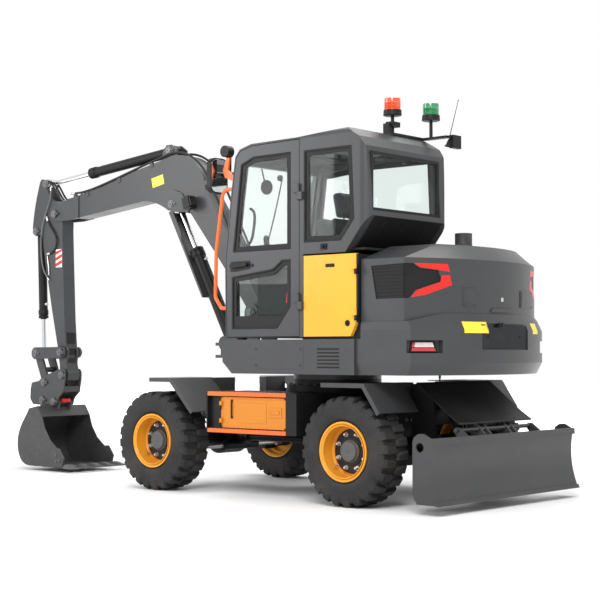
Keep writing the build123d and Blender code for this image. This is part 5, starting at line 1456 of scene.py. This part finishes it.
def makeControls(c):
    axis = Vector(c["wheelTilt"]).normalized()
    middle = at(*c["wheelCentre"])
    bm = bmesh.new()
    ring, thick = c["wheelRing"], c["wheelThick"]
    profile = [
        (0.012 + sin(2 * pi * n / 16) * thick, ring + cos(2 * pi * n / 16) * thick) for n in range(17)
    ]
    lathe(bm, middle, axis, profile, 64)
    lathe(bm, middle - axis * 0.010, axis, [
        (0, 0.030), (0.004, 0.056), (0.026, 0.052), (0.036, 0.040), (0.040, 0.022), (0.041, 0),
    ], 32)
    finishMesh("steering_wheel", bm, "darkPlastic", "upper")
    bm = bmesh.new()
    for x, y in c["gripSpots"]:
        lathe(bm, at(x, y, c["gripFoot"] - 0.060), (0.10, 0, 1), [
            (0, 0.034), (0.012, 0.031), (0.020, 0.026), (0.030, 0.029), (0.042, 0.022), (0.052, 0.024),
            (0.064, 0.017), (0.080, 0.020), (0.110, 0.0235), (0.140, 0.0225), (0.165, 0.024),
            (0.178, 0.019),
            (0.184, 0.010), (0.184, 0),
        ], 28)
    finishMesh("lever_grips", bm, "darkPlastic", "upper")
    bm = bmesh.new()
    for x, y in c["gripSpots"]:
        for dy in c["buttonSides"]:
            lathe(
                bm, at(x + 0.018, y + dy, c["gripFoot"] + 0.118), (0.1, 0, 1),
                [(0, 0.006), (0.008, 0.006), (0.010, 0.004), (0.010, 0)], 14,
            )
    finishMesh("lever_buttons", bm, "greyPlastic", "upper")
    # screen on the front post, its bracket, pedals and their rods
    bm = bmesh.new()
    boxPart(bm, (0.235, -0.020, 1.960), (0.260, 0.155, 2.090))
    boxPart(bm, (0.255, 0.050, 1.840), (0.275, 0.080, 1.980))
    finishMesh("screen_case", bm, "darkPlastic", "upper", 0.006)
    onePiece(
        "screen_glass", "screenBlack", "upper", 0.001, boxPart, (0.2335, -0.008, 1.972),
        (0.236, 0.143, 2.078),
    )
    bm = bmesh.new()
    for y in c["pedalSides"]:
        prism(bm, [(0.250, 1.372), (0.320, 1.470), (0.332, 1.464), (0.268, 1.360)], y - 0.045, y + 0.045)
        for n in range(c["treadCount"]):
            x, z = 0.256 + n * 0.014, 1.384 + n * 0.0196
            prism(
                bm, [(x, z), (x + 0.006, z + 0.0084), (x - 0.001, z + 0.0134), (x - 0.007, z + 0.005)],
                y - 0.040, y + 0.040,
            )
        boxPart(bm, (0.288, y - 0.010, 1.352), (0.302, y + 0.010, 1.420))
    finishMesh("pedals", bm, "sealRubber", "upper", 0.002)
    # the red lever beside the seat that locks the levers
    onePiece("lock_lever", "leverRed", "upper", 0.006, prism, [
        (-0.215, 1.560), (-0.180, 1.560), (-0.205, 1.720), (-0.245, 1.880), (-0.262, 1.905),
        (-0.278, 1.880),
        (-0.255, 1.715),
    ], 0.846, 0.864)
    # grab bar and the inner mirror at the front post
    tube("inner_grab_bar", [at(*point) for point in c["grabBar"]], 0.011, "darkPlastic", "upper")
    bm = bmesh.new()
    lathe(bm, at(0.190, 0.690, 2.520), (-1, 0.1, -0.1), [
        (0, 0), (0, 0.052), (0.006, 0.060), (0.018, 0.060), (0.022, 0.056), (0.022, 0),
    ], 32)
    lathe(bm, at(0.200, 0.690, 2.560), (0.3, 0, 1), [(0, 0), (0, 0.006), (0.12, 0.006), (0.12, 0)], 12)
    finishMesh("inner_mirror", bm, "darkPlastic", "upper", 0.001)
    # wiper arm on the front window
    tube("wiper_arm", [at(*point) for point in c["wiperArm"]], 0.006, "darkPlastic", "upper")


makeControls(controlLook)
print("controls ready")

# mirrors, antenna, work lamps, reflector and sticker
fittingLook = {
    "mirrorFace": 0.525,
    "mirrorSpans": ((0.790, 0.990), (-0.405, -0.205)),
    "mirrorHeights": (2.475, 2.768),
    "mirrorCorner": 0.046,
    "mirrorRim": 0.012,
    "antennaFoot": (-0.815, -0.450, 2.880),
    "antennaTop": (-0.930, -0.450, 3.262),
    "boomLampSpot": (1.618, 2.543),
    "boomLampRibs": 5,
    "roofLamp": (0.262, 2.812),
    "roofLampSides": (0.060, 0.740),
    "barCount": 3,
    "barPitch": 0.060,
    "reflector": ((3.525, 3.620), (2.024, 2.205)),
    "boomSticker": [(2.020, 2.745), (2.175, 2.715), (2.195, 2.805), (2.040, 2.835)],
}


def makeFittings(f):
    z0, z1 = f["mirrorHeights"]
    x = f["mirrorFace"]
    for n, (y0, y1) in enumerate(f["mirrorSpans"]):
        bm = bmesh.new()
        corner = f["mirrorCorner"]
        edge = f["mirrorRim"] + corner
        outline = []
        for cy, cz, first in (
            (y1 - edge, z1 - edge, 0), (y0 + edge, z1 - edge, 90),
            (y0 + edge, z0 + edge, 180), (y1 - edge, z0 + edge, 270),
        ):
            for k in range(7):
                turn = radians(first + k * 15)
                outline.append((cy + cos(turn) * corner, cz + sin(turn) * corner))
        joinRows(bm, [[bm.verts.new(at(x + lift, y, z)) for y, z in outline] for lift in (-0.0015, 0.004)])
        finishMesh("mirror_glass_%d" % n, bm, "mirrorSilver", "upper", 0.0006, 40)
    foot, top = Vector(f["antennaFoot"]), Vector(f["antennaTop"])
    axis = (top - foot).normalized()
    long = (top - foot).length
    onePiece("antenna", "darkPlastic", "upper", 0, lathe, at(*foot), axis, [
        (0, 0), (0, 0.024), (0.012, 0.024), (0.018, 0.016), (0.034, 0.013), (0.060, 0.008), (0.066, 0.004),
        (long * 0.5, 0.0032), (long - 0.012, 0.0022), (long - 0.010, 0.0036), (long, 0.0036), (long, 0),
    ], 16)
    # work lamp on the boom's left side: housing with cooling ribs, bracket, lens
    x, z = f["boomLampSpot"]
    bm = bmesh.new()
    prism(
        bm,
        [(x - 0.045, z - 0.050), (x + 0.035, z - 0.075), (x + 0.060, z + 0.030), (x - 0.020, z + 0.055)],
        0.112, 0.205,
    )
    for n in range(f["boomLampRibs"]):
        y = 0.120 + n * 0.018
        prism(bm, [
            (x - 0.062, z - 0.035), (x - 0.042, z - 0.048), (x - 0.020, z + 0.050), (x - 0.038, z + 0.046),
        ], y, y + 0.006)
    boxPart(bm, (x - 0.020, 0.092, z - 0.014), (x + 0.020, 0.116, z + 0.014))
    finishMesh("boom_lamp_case", bm, "darkPlastic", "boom", 0.004)
    onePiece(
        "boom_lamp_lens", "lampGlass", "boom", 0.001, prism,
        [(x + 0.037, z - 0.066), (x + 0.041, z - 0.067), (x + 0.063, z + 0.022), (x + 0.059, z + 0.023)],
        0.120, 0.197,
    )
    # work lamps under the roof's front edge
    x, z = f["roofLamp"]
    aim = (1, 0, 0.05)
    for n, y in enumerate(f["roofLampSides"]):
        onePiece("roof_lamp_case_%d" % n, "darkPlastic", "upper", 0.0008, lathe, at(x, y, z), aim, [
            (-0.020, 0), (-0.020, 0.028), (0.010, 0.040), (0.040, 0.042), (0.046, 0.040), (0.044, 0.036),
            (0.036, 0.034), (0.036, 0),
        ], 28)
        onePiece(
            "roof_lamp_lens_%d" % n, "lampGlass", "upper", 0, lathe, at(x, y, z), aim,
            [(0.034, 0), (0.034, 0.034), (0.040, 0.034), (0.046, 0.020), (0.048, 0)], 28,
        )
    # striped reflector on the arm's left side
    (x0, x1), (z0, z1) = f["reflector"]
    onePiece("arm_reflector", "decalWhite", "arm", 0.001, boxPart, (x0, 0.070, z0), (x1, 0.0745, z1))
    bm = bmesh.new()
    tall, rise = 0.034, 0.036
    for n in range(f["barCount"]):
        foot = z0 + 0.004 + n * f["barPitch"]
        prism(
            bm,
            [(x0, foot + rise), (x1, foot), (x1, min(z1, foot + tall)), (x0, min(z1, foot + tall + rise))],
            0.0735, 0.0757,
        )
    finishMesh("arm_reflector_bars", bm, "decalRed", "arm", 0.0004)
    # blank yellow sticker near the boom's bend
    onePiece("boom_sticker", "decalYellow", "boom", 0.0005, prism, f["boomSticker"], 0.0935, 0.0955)


makeFittings(fittingLook)
print("fittings ready")


# arm, coupler and bucket: hoses, hard lines, rub strips, bolts, teeth
toolLook = {
    "armTube": [(3.742, 2.144), (3.736, 2.090), (3.725, 2.052), (3.718, 2.000), (3.716, 1.950)],
    "earBundle": [(3.558, 2.699), (3.590, 2.732), (3.638, 2.806), (3.686, 2.871), (3.740, 2.900)],
    "topTubes": [
        (3.260, 2.722), (3.235, 2.752), (3.205, 2.764), (3.150, 2.770), (3.070, 2.780), (2.921, 2.812),
        (2.700, 2.862), (2.460, 2.915),
    ],
    "earSides": (0.055, 0.020, -0.020),
    "topSides": (0.060, 0.030),
    "armRear": [(3.4465, 1.060), (3.4555, 1.215), (3.4795, 1.490)],
    "cutterBolts": ((3.290, 0.105), (3.295, 0.165), (3.245, 0.110)),
    "cutterSide": 0.324,
    "wearStrips": ((3.640, 0.0475), (3.500, 0.0470), (3.360, 0.0470)),
    "toothCount": 5,
    "toothSide": 0.288,
    "toothPitch": 0.144,
}


def makeTool(t):
    for n, y in enumerate(t["earSides"]):
        points = [at(x, y + 0.006 * k, z + 0.004 * n) for k, (x, z) in enumerate(t["earBundle"])]
        tube("ear_hose_%d" % n, points, 0.010, "hoseRubber", "arm")
    for n, y in enumerate(t["topSides"]):
        tube("top_line_%d" % n, [at(x, y, z) for x, z in t["topTubes"]], 0.007, "hoseRubber", "boom")
    tube("arm_line", [at(x, 0.081, z) for x, z in t["armTube"]], 0.007, "brightSteel", "arm")
    # rub strips on the arm's rear face
    bm = bmesh.new()
    rear = t["armRear"]
    for a, b, low, high in (
        (rear[0], rear[1], 0.05, 0.35), (rear[0], rear[1], 0.55, 0.95), (rear[1], rear[2], 0.15, 0.55),
    ):
        p, q = Vector(a).lerp(Vector(b), low), Vector(a).lerp(Vector(b), high)
        prism(
            bm, [(p.x + 0.006, p.y), (q.x + 0.006, q.y), (q.x - 0.007, q.y), (p.x - 0.007, p.y)], -0.050,
            0.050,
        )
    finishMesh("arm_rub_strips", bm, "sealRubber", "arm", 0.002)
    # red catch of the quick coupler, and its locking cylinder
    onePiece(
        "coupler_catch", "redPaint", "bucket", 0.003, prism,
        [(3.520, 0.672), (3.560, 0.665), (3.566, 0.698), (3.540, 0.708), (3.522, 0.705)], -0.048, 0.048,
    )
    bm = bmesh.new()
    axis = Vector((1, 0, -0.1)).normalized()
    lathe(bm, at(3.560, 0.0, 0.840), axis, [
        (0, 0), (0, 0.034), (0.110, 0.034), (0.112, 0.038), (0.128, 0.038), (0.130, 0.018), (0.170, 0.018),
        (0.170, 0),
    ], 32)
    finishMesh("coupler_cylinder", bm, "chassisBlack", "bucket", 0.001)
    # bolted side cutters and tooth adapters
    bm = bmesh.new()
    for hand in (1, -1):
        for x, z in t["cutterBolts"]:
            boltHead(bm, at(x, hand * t["cutterSide"], z), (0, hand, 0), 0.024, 0.012)
    finishMesh("cutter_bolts", bm, "pinSteel", "bucket", 0.001)
    for n in range(t["toothCount"]):
        y = t["toothSide"] - n * t["toothPitch"]
        bm = bmesh.new()
        # wedge-shaped point over the adapter
        rows = []
        for x, low, high, half in (
            (3.205, 0.040, 0.0765, 0.026), (3.130, 0.0375, 0.0850, 0.027), (3.085, 0.0390, 0.0800, 0.025),
            (3.020, 0.0440, 0.0640, 0.0235), (2.982, 0.0490, 0.0525, 0.0225),
        ):
            corners = rectangle(y - half, low, y + half, high)
            rows.append([bm.verts.new(at(x, side, z)) for side, z in corners])
        joinRows(bm, rows)
        lathe(
            bm, at(3.115, y + 0.026, 0.061), (0, 1, 0), [(0, 0), (0, 0.006), (0.003, 0.006), (0.003, 0)],
            12,
        )
        finishMesh("tooth_point_%d" % n, bm, "cuttingSteel", "bucket", 0.002)
    # pressed ribs across the bucket's back
    bm = bmesh.new()
    for x, z in t["wearStrips"]:
        prism(bm, [
            (x - 0.024, z + 0.003), (x + 0.024, z + 0.003), (x + 0.020, z - 0.006), (x - 0.020, z - 0.006),
        ], -0.300, 0.300)
    finishMesh("bucket_wear_strips", bm, "cuttingSteel", "bucket", 0.002)


makeTool(toolLook)
print("tool ready")

# undercarriage: storage door, bolts, step grips
baseLook = {
    "doorFace": 0.919,
    "doorSpan": (-0.236, 0.466),
    "doorHeights": (0.560, 0.810),
    "handleAt": 0.347,
    "latchSpan": (-0.193, -0.056),
    "railOut": 0.940,
    "railHeights": (0.520, 0.818),
    "railStuds": 18,
    "studPitch": 0.046,
    "frameBolts": (-0.93, -0.88, -0.75, -0.70, 1.17, 1.22, 1.35, 1.40),
    "frameBoltHeights": (0.640, 0.740),
    "frameSide": 0.201,
    "ringBolts": 28,
    "ringRadius": 0.405,
    "ringTop": 0.899,
    "rodSpots": (-0.840, -1.480),
}


def makeBase(b):
    # box door: pressed rim, handle, latch
    face0 = b["doorFace"]
    (x0, x1), (z0, z1) = b["doorSpan"], b["doorHeights"]
    bm = bmesh.new()
    for low, high in (
        ((x0, z0), (x1, z0 + 0.016)), ((x0, z1 - 0.016), (x1, z1)), ((x0, z0), (x0 + 0.016, z1)),
        ((x1 - 0.016, z0), (x1, z1)),
    ):
        boxPart(bm, (low[0], face0 - 0.001, low[1]), (high[0], face0 + 0.0035, high[1]))
    boxPart(bm, (-0.030, face0 - 0.001, z0 + 0.045), (0.285, face0 + 0.003, z1 - 0.045))
    finishMesh("box_door_press", bm, "doorPaint", "box_door", 0.0015)
    x = b["handleAt"]
    bm = bmesh.new()
    boxPart(bm, (x - 0.006, face0 + 0.004, 0.640), (x + 0.006, face0 + 0.0125, 0.785))
    for z in (0.646, 0.779):
        boxPart(bm, (x - 0.010, face0, z - 0.010), (x + 0.010, face0 + 0.006, z + 0.010))
    finishMesh("box_handle", bm, "darkPlastic", "box_door", 0.002)
    bm = bmesh.new()
    x2, x3 = b["latchSpan"]
    boxPart(bm, (x2, face0, 0.654), (x3, face0 + 0.006, 0.733))
    boxPart(bm, (x2 + 0.020, face0 + 0.004, 0.680), (x3 - 0.030, face0 + 0.0125, 0.708))
    lathe(bm, at(x3 - 0.016, face0 + 0.005, 0.694), (0, 1, 0), plug(0.010, 0.004, 0.005, 0.008), 18)
    finishMesh("box_latch", bm, "doorPaint", "box_door", 0.0015)
    # punched grip studs on the step rails
    for s, label in ((1, "left"), (-1, "right")):
        bm = bmesh.new()
        for z in b["railHeights"]:
            top = z + 0.032
            for n in range(b["railStuds"]):
                x = -0.215 + n * b["studPitch"]
                spot = at(x, s * (b["railOut"] - 0.008), top - 0.0005)
                lathe(
                    bm, spot, (0, 0, 1),
                    [(0, 0.0065), (0.003, 0.0045), (0.0035, 0.0025), (0.0025, 0.002), (0.0025, 0)], 10,
                )
        finishMesh("rail_grips_" + label, bm, "orangePaint" if s > 0 else "chassisBlack", "chassis")
    # hold-down bolts along the frame and the axle pads
    bm = bmesh.new()
    for s in (1, -1):
        for x in b["frameBolts"]:
            for z in b["frameBoltHeights"]:
                boltHead(bm, at(x, s * b["frameSide"], z), (0, s, 0), 0.022, 0.012)
    finishMesh("frame_bolts", bm, "pinSteel", "chassis", 0.001)
    # slewing ring bolts
    bm = bmesh.new()
    reach = b["ringRadius"]
    for n in range(b["ringBolts"]):
        turn = 2 * pi * n / b["ringBolts"]
        boltHead(bm, at(cos(turn) * reach, sin(turn) * reach, b["ringTop"]), (0, 0, 1), 0.018, 0.012)
    finishMesh("ring_bolts", bm, "pinSteel", "chassis", 0.001)
    # thin drain rods under the counterweight
    bm = bmesh.new()
    for x in b["rodSpots"]:
        lathe(bm, at(x, 0.60, 1.010), (0, 0, -1), [
            (0, 0), (0, 0.009), (0.030, 0.009), (0.032, 0.006), (0.052, 0.006), (0.054, 0.003), (0.054, 0),
        ], 14)
    finishMesh("drain_rods", bm, "darkPlastic", "upper")


makeBase(baseLook)
print("undercarriage ready")


# right side and top: doors, louvres, filler, tread patches, tank, skirt slots
coverSide = {
    "side": 0.895,
    "doorHeights": (1.300, 1.765),
    "doorSpans": ((-0.935, -0.300), (-0.288, 0.385)),
    "louvreFoot": 1.400,
    "louvreSpan": (-0.880, -0.420),
    "louvreHigh": 0.016,
    "louvreRows": 9,
    "louvrePitch": 0.034,
    "treadRows": (5, 9),
}


def makeRightSide(c):
    y = c["side"]
    # two door skins with a gap between them, standing off the cover
    bm = bmesh.new()
    low, high = c["doorHeights"]
    for x0, x1 in c["doorSpans"]:
        prism(bm, rectangle(x0, low, x1, high), -y - 0.004, -y + 0.002)
    finishMesh("right_door_skins", bm, "bodyGrey", "upper", 0.003)
    bm = bmesh.new()
    x0, x1 = c["louvreSpan"]
    for n in range(c["louvreRows"]):
        z = c["louvreFoot"] + n * c["louvrePitch"]
        prism(bm, rectangle(x0, z, x1, z + c["louvreHigh"]), -y - 0.0075, -y - 0.002)
    finishMesh("right_louvres", bm, "darkPlastic", "upper", 0.0025)
    bm = bmesh.new()
    for x in (-0.350, 0.330):
        boxPart(bm, (x - 0.030, -y - 0.0085, 1.520), (x + 0.030, -y - 0.002, 1.570))
        lathe(bm, at(x, -y - 0.008, 1.545), (0, -1, 0), plug(0.012, 0.003, 0.004, 0.009), 20)
    for x in (-0.925, -0.278):
        for z in (1.360, 1.700):
            boxPart(bm, (x - 0.014, -y - 0.0085, z - 0.030), (x + 0.006, -y - 0.002, z + 0.030))
    finishMesh("right_catches", bm, "darkPlastic", "upper", 0.0015)
    # filler cap and tread patches on the top
    bm = bmesh.new()
    lathe(bm, at(0.270, -0.420, 1.898), (0, 0, 1), [
        (0, 0), (0, 0.062), (0.006, 0.062), (0.008, 0.052), (0.030, 0.050), (0.036, 0.044), (0.036, 0.012),
        (0.042, 0.010), (0.042, 0),
    ], 36)
    for n in range(12):
        turn = 2 * pi * n / 12
        spot = at(0.270 + cos(turn) * 0.050, -0.420 + sin(turn) * 0.050, 1.908)
        lathe(bm, spot, (0, 0, 1), [(0, 0.006), (0.018, 0.006), (0.018, 0)], 8)
    finishMesh("filler_cap", bm, "darkPlastic", "upper", 0.0008)
    bm = bmesh.new()
    rows, columns = c["treadRows"]
    boxPart(bm, (-0.600, -0.700, 1.899), (0.120, -0.300, 1.9025))
    for a in range(rows):
        for b in range(columns):
            spot = at(-0.560 + b * 0.080, -0.660 + a * 0.080, 1.902)
            lathe(bm, spot, (0, 0, 1), [(0, 0.013), (0.004, 0.010), (0.004, 0)], 10)
    finishMesh("tread_patch", bm, "sealRubber", "upper", 0.0008)
    # louvres on the hood's top
    bm = bmesh.new()
    for n in range(7):
        z = 1.9855
        y0 = -0.020 + n * 0.050
        prism(bm, [(-1.400, z), (-1.230, z), (-1.232, z + 0.005), (-1.398, z + 0.005)], y0, y0 + 0.026)
    finishMesh("hood_top_louvres", bm, "darkPlastic", "engine_hood", 0.002)
    # right-hand tank: step treads and drain plug
    bm = bmesh.new()
    for z in (0.520, 0.818):
        for n in range(20):
            lathe(
                bm, at(-0.300 + n * 0.046, -0.932, z + 0.0315), (0, 0, 1),
                [(0, 0.0065), (0.003, 0.0045), (0.0035, 0.0025), (0.0035, 0)], 8,
            )
    finishMesh("tank_step_grips", bm, "castIron", "chassis")
    onePiece("tank_cap", "darkPlastic", "chassis", 0.0008, lathe, at(0.480, -0.660, 0.849), (0, 0, 1), [
        (0, 0), (0, 0.052), (0.006, 0.052), (0.008, 0.044), (0.022, 0.042), (0.026, 0.036), (0.026, 0),
    ], 32)
    # cooling slots in the left skirt
    bm = bmesh.new()
    for n in range(6):
        z = 1.050 + n * 0.028
        prism(bm, [(-0.780, z), (-0.560, z), (-0.560, z + 0.012), (-0.780, z + 0.012)], 0.9235, 0.9275)
    finishMesh("skirt_slots", bm, "darkPlastic", "upper", 0.0015)


makeRightSide(coverSide)
print("right side ready")
